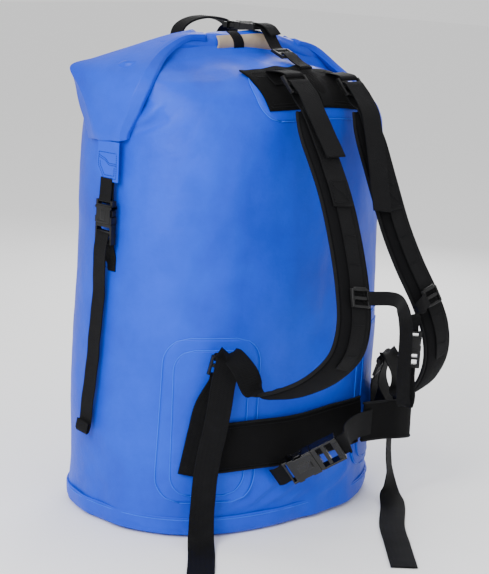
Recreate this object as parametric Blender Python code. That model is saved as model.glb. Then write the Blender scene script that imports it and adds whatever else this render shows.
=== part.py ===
"""Roll-top dry bag with a backpack harness, as separate pieces on their joints.

Units are metres and +Z is up. The origin is the centre of the base on the ground. The harness
is on the -Y side, so the wearer faces -Y, with their left hand towards +X. Every moving body
has an empty on its joint's axis, and the body's pieces are parented to it.
"""

import math

import bmesh
import bpy
import numpy as np
from mathutils import Vector

GAP = 0.0005  # clearance between two pieces that touch
BUTT = 0.0010  # gap between the end of a strap and the bar that it is sewn round
SKIN = 0.003  # wall of the coated fabric, thicker than the real 0.7 mm so that it is a sound solid
SQUARENESS = 2.45  # superellipse exponent of the bag's plan
PANEL_BOTTOM = 0.0040
MOUTH_Z = 0.662  # where the bag's panels end and the collar that rolls up begins
# Height, half width and half depth of the bag's outer surface.
BAG_RINGS = (
    (0.000, 0.2450, 0.1800),
    (0.200, 0.2440, 0.1790),
    (0.400, 0.2430, 0.1790),
    (0.550, 0.2420, 0.1750),
    (0.600, 0.2420, 0.1680),
    (0.630, 0.2410, 0.1520),
    (0.650, 0.2400, 0.1240),
    (0.662, 0.2380, 0.0900),
)
COLLAR_RINGS = ((0.6625, 0.2380, 0.0880), (0.670, 0.2360, 0.0500), (0.6750, 0.2320, 0.0140))
SLUMP_FROM = 0.500  # above this height the top sags towards its ends, most on the left
SLUMP_LEFT, SLUMP_RIGHT = 0.042, 0.010
BASE_RIM_HEIGHT = 0.020

ROLL_CENTRE = (-0.012, 0.6900)  # Y and Z of the rolled-up mouth
ROLL_RADII = (0.016, 0.0135)
ROLL_HALF_LENGTH = 0.236
STIFFENER_X = (-0.075, 0.036)

WEBBING = 0.0018  # thickness of every webbing strap
NARROW, MIDDLE, WIDE = 0.020, 0.025, 0.038  # widths of the webbing
PAD_WIDTH, PAD_THICKNESS = 0.062, 0.013
TOP_STRAP_X = 0.012

SIDES = {"right": -1, "left": 1}  # the wearer's sides, and the sign of X there

SIDE_BUCKLE = (-0.004, 0.4410)  # Y and Z of the side buckles' mouths
SIDE_X = 0.2560  # how far out the side straps run
TAIL_END_Z = 0.1310

# Where each body's joint is. A body with no joint of its own is the root.
PIVOTS = {
    "root": (0, 0, 0),
    "closure": (0, ROLL_CENTRE[0], ROLL_CENTRE[1]),
    "haul_handle": (TOP_STRAP_X, 0.0850, 0.6780),
    "top_socket": (TOP_STRAP_X, -0.0020, 0.7115),
    "right_strap": (-0.0520, -0.1520, 0.6400),
    "left_strap": (0.0700, -0.1520, 0.6400),
    "chest_strap": (0, -0.3340, 0.3580),
    "chest_plug": (0.0510, -0.3140, 0.2770),
    "hip_plug": (-0.0450, -0.2310, 0.1150),
    "right_side_plug": (-SIDE_X, SIDE_BUCKLE[0], SIDE_BUCKLE[1]),
    "left_side_plug": (SIDE_X, SIDE_BUCKLE[0], SIDE_BUCKLE[1]),
    "right_side_tail": (-SIDE_X - 0.0070, SIDE_BUCKLE[0], SIDE_BUCKLE[1] - 0.0150),
    "left_side_tail": (SIDE_X + 0.0070, SIDE_BUCKLE[0], SIDE_BUCKLE[1] - 0.0150),
}

MATERIALS = {
    # name: (colour, roughness)
    "blue_fabric": ((0.085, 0.200, 0.600), 0.45),
    "black_webbing": ((0.012, 0.012, 0.014), 0.80),
    "black_pad": ((0.010, 0.010, 0.011), 0.85),
    "black_plastic": ((0.008, 0.008, 0.009), 0.35),
    "tan_strip": ((0.250, 0.200, 0.140), 0.70),
}

bodies = {}


# ---------------------------------------------------------------- scene and object helpers


def clear_scene():
    for old in list(bpy.data.objects):
        bpy.data.objects.remove(old, do_unlink=True)


def make_material(name):
    found = bpy.data.materials.get(name)
    if found:
        return found
    colour, roughness = MATERIALS[name]
    material = bpy.data.materials.new(name)
    material.use_nodes = True
    shader = material.node_tree.nodes["Principled BSDF"]
    shader.inputs["Base Color"].default_value = (*colour, 1)
    shader.inputs["Roughness"].default_value = roughness
    shader.inputs["Metallic"].default_value = 0
    return material


def make_bodies():
    for name, pivot in PIVOTS.items():
        empty = bpy.data.objects.new("joint_" + name, None)
        empty.location = pivot
        empty.empty_display_size = 0.03
        bpy.context.scene.collection.objects.link(empty)
        bodies[name] = empty


def add_piece(name, material, points, faces, body="root"):
    """One closed solid, given in world coordinates and stored about its body's pivot."""
    pivot = Vector(PIVOTS[body])
    bm = bmesh.new()
    corners = [bm.verts.new(Vector(p) - pivot) for p in points]
    for face in faces:
        bm.faces.new([corners[i] for i in face])
    bmesh.ops.recalc_face_normals(bm, faces=bm.faces)
    mesh = bpy.data.meshes.new(name)
    bm.to_mesh(mesh)
    bm.free()
    mesh.materials.append(make_material(material))
    mesh.shade_smooth()
    mesh.set_sharp_from_angle(angle=math.radians(35))
    piece = bpy.data.objects.new(name, mesh)
    piece.parent = bodies[body]
    bpy.context.scene.collection.objects.link(piece)
    return piece


# ---------------------------------------------------------------- curves and surfaces


def unit(vector):
    return vector / np.linalg.norm(vector)


def smooth_path(points, steps):
    """A centripetal Catmull-Rom curve through the points."""
    points = np.asarray(points, float)
    ends = np.vstack([2 * points[0] - points[1], points, 2 * points[-1] - points[-2]])
    knots = np.sqrt(np.linalg.norm(np.diff(ends, axis=0), axis=1))
    slopes = np.diff(ends, axis=0) / knots[:, None]
    wide = (ends[2:] - ends[:-2]) / (knots[:-1] + knots[1:])[:, None]
    speeds = slopes[:-1] - wide + slopes[1:]
    path = []
    for k in range(len(points) - 1):
        a, b = points[k], points[k + 1]
        leave, arrive = speeds[k] * knots[k + 1], speeds[k + 1] * knots[k + 1]
        for t in np.linspace(0, 1, steps, endpoint=False):
            bend = (1 - t) * leave - t * arrive + (1 - 2 * t) * (a - b)
            path.append(a + (b - a) * t + t * (1 - t) * bend)
    path.append(points[-1])
    return np.array(path)


def even_steps(rows, steps):
    """Vectors between the given ones, for a smooth_path with as many steps."""
    rows = np.array([np.asarray(row, float) for row in rows])
    places = np.linspace(0, len(rows) - 1, (len(rows) - 1) * steps + 1)
    return np.stack([np.interp(places, range(len(rows)), column) for column in rows.T], axis=1)


def slumped(x, y, z):
    """The top of the bag sags towards its two ends."""
    reach = min(1.0, max(0.0, (z - SLUMP_FROM) / (ROLL_CENTRE[1] - SLUMP_FROM)))
    left, right = max(0.0, x / 0.200), max(0.0, -x / 0.236)
    sag = SLUMP_LEFT * left**1.6 + SLUMP_RIGHT * right**2
    return np.array([x, y, z - sag * reach * reach * (3 - 2 * reach)])


def ring_size(z):
    heights, widths, depths = zip(*BAG_RINGS)
    return np.interp(z, heights, widths), np.interp(z, heights, depths)


def superellipse(half_width, half_depth, angles):
    """Points of the plan, counted from -Y towards +X."""
    across, along = np.sin(angles), -np.cos(angles)
    x = half_width * np.sign(across) * np.abs(across) ** (2 / SQUARENESS)
    y = half_depth * np.sign(along) * np.abs(along) ** (2 / SQUARENESS)
    return np.stack([x, y], axis=-1)


def ring_point(s, z):
    """The point s metres round the bag from the middle of its harness side, at height z."""
    angles = np.linspace(-math.pi, math.pi, 721)
    plan = superellipse(*ring_size(z), angles)
    steps = np.linalg.norm(np.diff(plan, axis=0), axis=1)
    length = np.concatenate([[0], np.cumsum(steps)])
    length -= np.interp(0, angles, length)
    return slumped(np.interp(s, length, plan[:, 0]), np.interp(s, length, plan[:, 1]), z)


def bag_point(s, z, off=0.0):
    """A point of the bag's outer surface, moved outwards by off."""
    d = 0.002
    high = min(z + d, MOUTH_Z)
    along = ring_point(s + d, z) - ring_point(s - d, z)
    up = ring_point(s, high) - ring_point(s, high - 2 * d)
    return ring_point(s, z) + off * unit(np.cross(along, up))


def grid_solid(name, material, outer, inner, body="root", closed=False):
    """A sheet with thickness between two grids of points. closed joins the last column to the first."""
    outer, inner = np.asarray(outer), np.asarray(inner)
    rows, columns = outer.shape[:2]
    points = [*outer.reshape(-1, 3), *inner.reshape(-1, 3)]
    other = rows * columns

    def at(r, c, side):
        return side * other + r * columns + c % columns

    faces = []
    last = columns if closed else columns - 1
    for r in range(rows - 1):
        for c in range(last):
            faces.append([at(r, c, 0), at(r, c + 1, 0), at(r + 1, c + 1, 0), at(r + 1, c, 0)])
            faces.append([at(r, c, 1), at(r + 1, c, 1), at(r + 1, c + 1, 1), at(r, c + 1, 1)])
    for r in (0, rows - 1):
        for c in range(last):
            faces.append([at(r, c, 0), at(r, c, 1), at(r, c + 1, 1), at(r, c + 1, 0)])
    if not closed:
        for c in (0, columns - 1):
            for r in range(rows - 1):
                faces.append([at(r, c, 0), at(r + 1, c, 0), at(r + 1, c, 1), at(r, c, 1)])
    return add_piece(name, material, points, faces, body)


def loft(name, material, rings, body="root"):
    """A closed solid through rings of points, capped at both ends."""
    count = len(rings[0])
    points = [p for ring in rings for p in ring]
    faces = [list(range(count)), [(len(rings) - 1) * count + i for i in range(count)]]
    for r in range(len(rings) - 1):
        for i in range(count):
            j = (i + 1) % count
            faces.append([r * count + i, r * count + j, (r + 1) * count + j, (r + 1) * count + i])
    return add_piece(name, material, points, faces, body)


def section_rings(path, across, outline):
    """The outline's (across, out) points carried along a path. across is one vector, or one per point."""
    path = np.asarray(path, float)
    tangents = np.gradient(path, axis=0)
    across = np.broadcast_to(np.asarray(across, float), path.shape)
    rings = []
    for p, t, w in zip(path, tangents, across):
        t = unit(t)
        w = unit(w - t * np.dot(w, t))
        n = np.cross(w, t)
        rings.append([p + w * u + n * v for u, v in outline])
    return rings


def strap(name, points, across, width, body="root", steps=5, thickness=WEBBING):
    """Flat webbing along a smooth curve."""
    half, out = width / 2, thickness / 2
    outline = ((-half, -out), (half, -out), (half, out), (-half, out))
    path = smooth_path(points, steps)
    if np.ndim(across) == 2:
        across = even_steps(across, steps)
    return loft(name, "black_webbing", section_rings(path, across, outline), body)


def cell_solid(name, material, cuts, filled, frame, body):
    """A solid of box cells. cuts are the cell walls along x, y and z, and filled tests a cell's middle."""
    middles = [[(a + b) / 2 for a, b in zip(walls, walls[1:])] for walls in cuts]
    counts = [len(m) for m in middles]

    def full(cell):
        if any(not 0 <= i < n for i, n in zip(cell, counts)):
            return False
        return filled(*(m[i] for m, i in zip(middles, cell)))

    origin, axes = frame
    points, faces, index = [], [], {}

    def corner(key):
        if key not in index:
            index[key] = len(points)
            local = [walls[i] for walls, i in zip(cuts, key)]
            points.append(origin + sum(c * a for c, a in zip(local, axes)))
        return index[key]

    for cell in np.ndindex(*counts):
        if not full(cell):
            continue
        for axis in range(3):
            for side in (0, 1):
                beside = list(cell)
                beside[axis] += 2 * side - 1
                if full(beside):
                    continue
                u, v = [k for k in range(3) if k != axis]
                key = list(cell)
                key[axis] += side
                corners = []
                for du, dv in ((0, 0), (1, 0), (1, 1), (0, 1)):
                    key[u], key[v] = cell[u] + du, cell[v] + dv
                    corners.append(corner(tuple(key)))
                faces.append(corners)
    return add_piece(name, material, points, faces, body)


def frame_at(origin, along, out):
    """Local x across, y along and z out, as unit vectors."""
    along = unit(np.asarray(along, float))
    out = np.asarray(out, float)
    out = unit(out - along * np.dot(out, along))
    return np.asarray(origin, float), (np.cross(along, out), along, out)


def place(frame, x, y, z):
    origin, axes = frame
    return origin + x * axes[0] + y * axes[1] + z * axes[2]


# ---------------------------------------------------------------- buckles and ladder locks


def buckle_sizes(webbing):
    """Width, thickness, socket length and plug base length of a side-release buckle."""
    return webbing + 0.009, 0.0060 + webbing * 0.24, 0.010 + webbing * 0.92, 0.008 + webbing * 0.88


def buckle_socket(name, webbing, frame, body):
    """The half that the plug's arms go into. Its mouth is at y = 0 and its webbing bar at the far end."""
    width, thick, length, _ = buckle_sizes(webbing)
    wall, roof = 0.0025, 0.0018
    half, inside = width / 2, width / 2 - wall
    deep = length - 0.0085
    slot = (length - 0.0065, length - 0.0025)
    window = (0.30 * length, 0.62 * length)
    xs = (-half, -inside, -webbing / 2, webbing / 2, inside, half)
    ys = (0, window[0], window[1], deep, slot[0], slot[1], length)
    zs = (-thick / 2, roof - thick / 2, thick / 2 - roof, thick / 2)

    def filled(x, y, z):
        hollow = y < deep and abs(x) < inside and abs(z) < thick / 2 - roof
        in_window = window[0] < y < window[1]
        side_window = in_window and abs(x) > inside and abs(z) < thick / 2 - roof
        bar_slot = slot[0] < y < slot[1] and abs(x) < webbing / 2
        return not (hollow or side_window or bar_slot)

    return cell_solid(name, "black_plastic", (xs, ys, zs), filled, frame, body)


def buckle_plug(name, webbing, frame, body):
    """The half with two arms and a guide tongue, and a ladder of two slots for the webbing."""
    width, thick, length, base = buckle_sizes(webbing)
    half = width / 2
    arm_out, arm_in = half - 0.0032, half - 0.0068
    arm_end, tongue_end = length - 0.0100, 0.55 * length
    arm_z, tongue = thick / 2 - 0.0026, 0.0022
    first, second = (-0.32 * base, -0.17 * base), (-0.72 * base, -0.53 * base)
    xs = (-half, -arm_out, -webbing / 2, -arm_in, -tongue, tongue, arm_in, webbing / 2, arm_out, half)
    xs = sorted(set(round(x, 6) for x in xs))
    ys = (-base, *second, *first, -GAP, tongue_end, arm_end)
    zs = (-thick * 0.4, -arm_z, arm_z, thick * 0.4)

    def filled(x, y, z):
        if y < -GAP:
            in_slot = second[0] < y < second[1] or first[0] < y < first[1]
            return not (in_slot and abs(x) < webbing / 2)
        if abs(z) > arm_z:
            return False
        return arm_in < abs(x) < arm_out or (abs(x) < tongue and y < tongue_end)

    return cell_solid(name, "black_plastic", (xs, ys, zs), filled, frame, body)


def ladder_lock(name, webbing, frame, body, length=0.030, thick=0.0050):
    """A plate with two slots between three bars."""
    half = webbing / 2 + 0.0045
    xs = (-half, -webbing / 2 - 0.0005, webbing / 2 + 0.0005, half)
    ys = tuple(length * f for f in (-0.5, -0.36, -0.12, 0.12, 0.36, 0.5))
    zs = (-thick / 2, thick / 2)

    def filled(x, y, z):
        return not (abs(x) < webbing / 2 and 0.12 * length < abs(y) < 0.36 * length)

    return cell_solid(name, "black_plastic", (xs, ys, zs), filled, frame, body)


# ---------------------------------------------------------------- the bag


def panel(name, middle):
    """One of the two body panels, a quarter turn either side of the middle angle, seam to seam."""
    seam = 0.004
    angles = middle + np.linspace(-math.pi / 2 + seam, math.pi / 2 - seam, 28)
    heights = [PANEL_BOTTOM, 0.05, 0.20, 0.40, 0.50, 0.55, 0.60, 0.63, 0.65, MOUTH_Z]
    outer, inner = [], []
    for z in heights:
        width, depth = ring_size(z)
        for rows, inset in ((outer, 0), (inner, SKIN)):
            plan = superellipse(width - inset, depth - inset, angles)
            rows.append([slumped(x, y, z) for x, y in plan])
    # The shoulders slope, so the inside drops there to keep the wall's thickness.
    for r, drop in zip((-4, -3, -2, -1), (0.0005, 0.0015, 0.0025, 0.0030)):
        inner[r] = [(x, y, z - drop) for x, y, z in inner[r]]
    grid_solid(name, "blue_fabric", outer, inner)


def bottom_panel():
    """A shallow cup, welded round the outside of the body panels."""
    angles = np.linspace(-math.pi, math.pi, 48, endpoint=False)
    width, depth = ring_size(0)
    wall, floor = 0.0025, 0.0030
    rings = []
    for off, z in (
        (-0.0040, 0.0),
        (GAP + wall, 0.0035),
        (GAP + wall, BASE_RIM_HEIGHT),
        (GAP, BASE_RIM_HEIGHT),
        (GAP, floor),
    ):
        plan = superellipse(width + off, depth + off, angles)
        rings.append([(x, y, z) for x, y in plan])
    loft("bottom_panel", "blue_fabric", rings)


def mouth_collar():
    """The fabric between the body panels and the roll, which pays out as the mouth is unrolled."""
    angles = np.linspace(-math.pi, math.pi, 44, endpoint=False)
    outer, inner = [], []
    for z, width, depth in COLLAR_RINGS:
        for rows, inset, drop in ((outer, 0, 0), (inner, 0.0030, 0.0020)):
            plan = superellipse(width - inset, depth - inset, angles)
            height = z if z == COLLAR_RINGS[0][0] else z - drop
            rows.append([slumped(x, y, height) for x, y in plan])
    grid_solid("mouth_collar", "blue_fabric", outer, inner, closed=True)


def roll_top():
    y0, z0 = ROLL_CENTRE
    angles = np.linspace(0, 2 * math.pi, 16, endpoint=False)
    rings = []
    for x in np.linspace(-ROLL_HALF_LENGTH, ROLL_HALF_LENGTH, 13):
        ry, rz = ROLL_RADII
        ring = [slumped(x, y0 + ry * math.cos(a), z0) + (0, 0, rz * math.sin(a)) for a in angles]
        rings.append(ring)
    loft("roll_top", "blue_fabric", rings, "closure")


def closure_stiffener():
    """The strip that shows on the front of the roll."""
    y0, z0 = ROLL_CENTRE
    angles = np.radians(np.linspace(150, 215, 7))
    ry, rz = ROLL_RADII
    grids = []
    for off in (0.0016, GAP):
        row = [(y0 + (ry + off) * math.cos(a), z0 + (rz + off) * math.sin(a)) for a in angles]
        columns = np.linspace(*STIFFENER_X, 4)
        grids.append([[slumped(x, y, z0) + (0, 0, z - z0) for y, z in row] for x in columns])
    grid_solid("closure_stiffener", "tan_strip", *grids, "closure")


def roll_end(side, sign):
    """The end of the flattened mouth, folded down over the side of the bag."""
    inner_x, thick = 0.2432, 0.0105
    outline = [(-0.062, 0.690), (-0.030, 0.7000), (0.030, 0.6980), (0.084, 0.668)]
    outline += [(0.060, 0.600), (0.030, 0.5420), (-0.036, 0.5420), (-0.052, 0.600)]
    rings = [[slumped(sign * (inner_x + t), y, z) for y, z in outline] for t in (0, thick)]
    loft(f"{side}_roll_end", "blue_fabric", rings, "closure")


def closure_tab(side, sign):
    """The welded tab below each roll end, and the webbing loop that holds the buckle's socket."""
    y, z = SIDE_BUCKLE
    x = sign * (SIDE_X - 0.0010)
    top = slumped(x, 0, 0.5420)[2] - GAP
    bottom = 0.5030
    outline = [(-0.022, top), (0.020, top), (0.020, bottom + 0.012), (0.006, bottom), (-0.022, bottom)]
    rings = [[(x + d, y + u, w) for u, w in outline] for d in (-0.0060, 0.0010)]
    loft(f"{side}_closure_tab", "blue_fabric", rings, "closure")
    _, _, length, _ = buckle_sizes(MIDDLE)
    start = bottom - GAP
    end = z + length + BUTT
    points = [(x - sign * 0.002, y, start), (x, y, (start + end) / 2), (sign * SIDE_X, y, end)]
    strap(f"{side}_tab_webbing", points, (0, 1, 0), MIDDLE - 0.0015, "closure", 3)


def side_closure(side, sign):
    """The buckle, strap and anchor that hold one end of the roll down."""
    y, z = SIDE_BUCKLE
    frame = frame_at((sign * SIDE_X, y, z), (0, 0, 1), (sign, 0, 0))
    buckle_socket(f"{side}_side_socket", MIDDLE, frame, "closure")
    buckle_plug(f"{side}_side_plug", MIDDLE, frame, f"{side}_side_plug")
    _, thick, _, base = buckle_sizes(MIDDLE)
    out = sign * (SIDE_X + thick * 0.4 + 0.0024)
    low = z - base
    tail = [
        (out, y, z - 0.50 * base),
        (out, y + 0.003, low - 0.012),
        (sign * 0.2560, y + 0.010, 0.340),
        (sign * 0.2540, y + 0.020, 0.250),
        (sign * 0.2540, y + 0.028, 0.180),
        (sign * 0.2560, y + 0.034, TAIL_END_Z),
    ]
    strap(f"{side}_side_tail", tail, (0, 1, 0.1), MIDDLE, f"{side}_side_tail")
    back = sign * (SIDE_X - thick * 0.4 - 0.0018)
    wall = ring_size(0.38)[0] + 0.0018
    anchor = [(back, y, low + 0.008), (back, y, low - 0.004)]
    anchor += [(sign * wall, y, low - 0.022), (sign * wall, y, 0.3720)]
    strap(f"{side}_side_anchor", anchor, (0, 1, 0), MIDDLE - 0.001, "root", 4)


def surface_plate(name, material, s_range, heights, off, thick, columns=17):
    """A thin plate that follows the bag's outside."""
    grids = []
    for distance in (off + thick, off):
        places = np.linspace(*s_range, columns)
        grids.append([[bag_point(s, z, distance) for s in places] for z in heights])
    return grid_solid(name, material, *grids)


def patches():
    """The welded patches that the harness is sewn to."""
    heights = (0.580, 0.600, 0.615, 0.630, 0.640, 0.650, 0.657)
    surface_plate("upper_harness_patch", "blue_fabric", (-0.125, 0.125), heights, 0.0010, 0.0010)
    for side, sign in SIDES.items():
        s_range = sorted((sign * 0.106, sign * 0.248))
        heights = (0.052, 0.200, 0.291)
        surface_plate(f"{side}_lower_patch", "blue_fabric", s_range, heights, GAP, 0.0010)


# ---------------------------------------------------------------- top of the harness


def yoke():
    heights = (0.606, 0.620, 0.630, 0.640, 0.650, 0.656)
    surface_plate("shoulder_yoke", "black_webbing", (-0.100, 0.100), heights, 0.0028, 0.0022)


def haul_handle():
    """A loop of webbing behind the roll."""
    middle, y, z = PIVOTS["haul_handle"]
    half = [(0.062, 0.000), (0.059, 0.018), (0.036, 0.035), (0, 0.040)]
    points = [(middle - x, y, z + up) for x, up in half]
    points += [(middle + x, y, z + up) for x, up in half[-2::-1]]
    strap("haul_handle", points, (0, 1, 0), MIDDLE, "haul_handle", 4, 0.003)
    for side, sign in SIDES.items():
        foot, leg = middle + sign * 0.040, middle + sign * 0.0563
        low = slumped(foot, y, MOUTH_Z)[2] + 0.0058
        bend = slumped(leg, y, MOUTH_Z)[2] + 0.0058
        points = [(foot, y, low), (leg - sign * 0.006, y, bend)]
        points += [(leg, y, bend + 0.008), (leg, y, z + 0.010)]
        strap(f"{side}_handle_anchor", points, (0, 1, 0), MIDDLE - 0.003, "root", 4)


def top_strap():
    """The webbing, buckle and ladder lock that hold the roll down in the middle."""
    x, y, z = PIVOTS["top_socket"]
    frame = frame_at((x, y, z), (0, 1, 0), (0, 0, 1))
    _, _, length, base = buckle_sizes(MIDDLE)
    buckle_socket("top_socket", MIDDLE, frame, "top_socket")
    buckle_plug("top_plug", MIDDLE, frame, "closure")
    width = MIDDLE - 0.0015
    rear = [(x, y + length + BUTT, z), (x, y + length + 0.012, z - 0.006)]
    rear += [(x, 0.054, 0.6850), (x, 0.068, 0.6710)]
    strap("top_rear_strap", rear, (1, 0, 0), width, "root", 4)
    front = y - base
    over = [(x, front - BUTT, z), (x, front - 0.011, z - 0.004)]
    over += [(x, front - 0.024, z - 0.020), (x, -0.0640, 0.6830)]
    strap("top_strap", over, (1, 0, 0), width, "closure", 4)
    lock = frame_at((x, -0.0800, 0.6770), (0, -0.93, -0.36), (0, -0.36, 0.93))
    ladder_lock("top_ladder_lock", MIDDLE, lock, "closure", 0.026, 0.0042)
    down = [place(lock, 0, 0.0138, 0), (x, -0.1060, 0.6670), (x, -0.1200, 0.6600)]
    strap("centre_strap", down, (1, 0, 0), width, "root", 4)


# ---------------------------------------------------------------- shoulder straps

# Where the tails of the lower webbing go once they leave their locks.
# Across each hanging tail.
TAIL_ACROSS = {"right": (0.92, -0.35, 0), "left": (0.84, 0.45, 0)}
TAIL_ROUTES = {
    "right": (
        (-0.1850, -0.1700, 0.1850),
        (-0.1950, -0.1640, 0.1200),
        (-0.2000, -0.1620, 0.0550),
        (-0.2060, -0.1680, 0.0140),
        (-0.2280, -0.1920, 0.0024),
        (-0.2540, -0.2180, 0.0022),
        (-0.2820, -0.2450, 0.0022),
    ),
    "left": (
        (0.1570, -0.2010, 0.1550),
        (0.1640, -0.1970, 0.1000),
        (0.1700, -0.1960, 0.0480),
        (0.1680, -0.2040, 0.0130),
        (0.1470, -0.2260, 0.0024),
        (0.0720, -0.2860, 0.0022),
        (0.0120, -0.3460, 0.0022),
        (-0.0440, -0.4020, 0.0022),
    ),
}
TAIL_DRIFT = {"right": -0.010, "left": 0.028}  # the upper tails hang off the line of their pads
CHEST_SLIDER_Z = {"right": 0.3760, "left": 0.3440}

# The middle line of each pad, from its top end down to the end of the lower webbing's seam.
PAD_PATHS = {
    "right": (
        (-0.0600, -0.1920, 0.6060),
        (-0.0660, -0.2240, 0.5640),
        (-0.0760, -0.2670, 0.5030),
        (-0.0880, -0.3020, 0.4400),
        (-0.0980, -0.3260, 0.3840),
        (-0.1080, -0.3400, 0.3380),
        (-0.1180, -0.3380, 0.3000),
        (-0.1300, -0.3120, 0.2650),
        (-0.1400, -0.2700, 0.2380),
        (-0.1480, -0.2250, 0.2220),
    ),
    "left": (
        (0.0640, -0.1880, 0.6020),
        (0.0660, -0.2080, 0.5600),
        (0.0700, -0.2320, 0.5000),
        (0.0760, -0.2560, 0.4380),
        (0.0840, -0.2780, 0.3900),
        (0.0930, -0.3020, 0.3450),
        (0.1030, -0.3160, 0.3020),
        (0.1130, -0.3130, 0.2590),
        (0.1250, -0.2870, 0.2150),
        (0.1350, -0.2460, 0.1880),
    ),
}
PAD_ACROSS = {
    "right": ((1, -0.05, -0.10), (1, -0.10, -0.20)),
    "left": ((1, 0.05, 0.10), (1, 0.10, 0.20)),
}
UPPER_LOCKS = {"right": (-0.0540, -0.1680, 0.6440), "left": (0.0680, -0.1640, 0.6360)}
LOWER_LOCKS = {
    "right": ((-0.1720, -0.1660, 0.2560), (0.10, -0.20, 0.97)),
    "left": ((0.1480, -0.1860, 0.2170), (0.00, -0.35, 0.93)),
}

# How far round the bag from its middle each lower anchor lies, at its top and at its bottom.
ANCHOR_SPANS = {"right": (0.196, 0.220), "left": (0.168, 0.205)}


def outward(path, across, distance):
    """The path moved away from the bag by distance, where across points towards +X."""
    tangents = np.gradient(path, axis=0)
    moved = []
    for p, t, w in zip(path, tangents, across):
        moved.append(p - distance * unit(np.cross(w, unit(t))))
    return np.array(moved)


def pad_line(side):
    """The pad's middle line, and the direction across it at each point."""
    path = smooth_path(PAD_PATHS[side], 4)
    first, last = (np.array(a, float) for a in PAD_ACROSS[side])
    fractions = np.linspace(0, 1, len(path))[:, None]
    return path, first + (last - first) * fractions


def shoulder_pad(side):
    path, across = pad_line(side)
    fractions = np.linspace(0, 1, len(path))
    t = PAD_THICKNESS / 2
    outline = np.array(
        [(-1, -0.35), (-0.8, -1), (0.8, -1), (1, -0.35), (1, 0.35), (0.8, 1), (-0.8, 1), (-1, 0.35)]
    )
    rings = []
    for k, f in enumerate(fractions):
        taper = max(0.0, 1 - f / 0.12) + max(0.0, (f - 0.88) / 0.12)
        size = (PAD_WIDTH / 2 * (1 - 0.42 * taper**2), t)
        rings.append(section_rings(path, across, outline * size)[k])
    loft(f"{side}_shoulder_pad", "black_pad", rings, f"{side}_strap")


def upper_webbing(side, lock, tail_length):
    """The webbing sewn on the pad, which turns through the upper lock and hangs back over the pad."""
    path, across = pad_line(side)
    lengths = np.concatenate([[0], np.cumsum(np.linalg.norm(np.diff(path, axis=0), axis=1))])
    on_pad = outward(path, across, PAD_THICKNESS / 2 + 0.0038)
    over = outward(path, across, PAD_THICKNESS / 2 + 0.0100)

    def at(line, distance):
        return np.array([np.interp(distance, lengths, line[:, k]) for k in range(3)])

    points = [at(on_pad, d) for d in (0.150, 0.110, 0.070, 0.035, 0.004)]
    turn = ((0.024, -0.0068), (0.008, -0.0058), (-0.0040, -0.0050), (-0.0074, 0), (-0.0036, 0.0052))
    turn += ((0.008, 0.0060), (0.022, 0.0060))
    points += [place(lock, 0, y, z) for y, z in turn]
    for d in np.arange(0.010, tail_length, 0.035):
        points.append(at(over, d) - (TAIL_DRIFT[side] * d / tail_length, 0, 0))
    strap(f"{side}_upper_webbing", points, (1, 0, 0), WIDE, f"{side}_strap", 3)


def lower_adjuster(side, sign):
    """The lock on its anchor webbing, the pad's lower webbing, and its tail down to the ground."""
    centre, along = LOWER_LOCKS[side]
    lock = frame_at(centre, along, (sign * 0.35, -0.93, 0))
    across = lock[1][0]
    ladder_lock(f"{side}_lower_lock", WIDE, lock, "root")

    path, pad_across = pad_line(side)
    end, direction = path[-1], unit(path[-1] - path[-3])
    top = place(lock, 0, 0.0215, 0.0035)
    low = end + direction * 0.020 + np.array((0, 0, 0.008))
    rise = top + 0.55 * (low - top) + np.array((0, -0.004, 0.004))
    points = [end + direction * 0.0030, low, rise, top]
    turns = [pad_across[-1], 0.7 * pad_across[-1] + 0.3 * across, across, across]
    strap(f"{side}_lower_webbing", points, turns, WIDE, "root", 5)

    tail = [place(lock, 0, y, z) for y, z in ((0.0060, -0.0046), (0.0120, -0.0062), (0.0180, -0.0010))]
    tail += [place(lock, 0, y, z) for y, z in ((0.0130, 0.0062), (-0.0020, 0.0074), (-0.0260, 0.0110))]
    turns = [across] * len(tail)
    for point in TAIL_ROUTES[side]:
        tail.append(point)
        lying = np.interp(point[2], (0.003, 0.020), (1, 0))
        turns.append((1 - lying) * np.array(TAIL_ACROSS[side]) + lying * np.array((0.7, -0.7, 0)))
    strap(f"{side}_adjuster_tail", tail, turns, WIDE, "root", 4)

    anchor = [place(lock, 0, -0.0190, 0), place(lock, 0, -0.0250, -0.0003)]
    turns = [across, across]
    top, bottom = centre[2] - 0.060, 0.094
    for f, off in ((0, 0.0120), (0.35, 0.0075), (0.7, 0.0068), (1, 0.0068)):
        s, z = sign * np.interp(f, (0, 1), ANCHOR_SPANS[side]), top + (bottom - top) * f
        anchor.append(bag_point(s, z, off))
        turns.append(unit(ring_point(s + 0.002, z) - ring_point(s - 0.002, z)))
    strap(f"{side}_lower_anchor", anchor, turns, WIDE - 0.001, "root", 4)


def shoulder_strap(side, sign):
    lock = frame_at(UPPER_LOCKS[side], (0, -0.70, -0.71), (0, -0.71, 0.70))
    ladder_lock(f"{side}_upper_lock", WIDE, lock, f"{side}_strap")
    shoulder_pad(side)
    upper_webbing(side, lock, {"right": 0.110, "left": 0.165}[side])
    lower_adjuster(side, sign)


# ---------------------------------------------------------------- chest strap and hip belt


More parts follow.
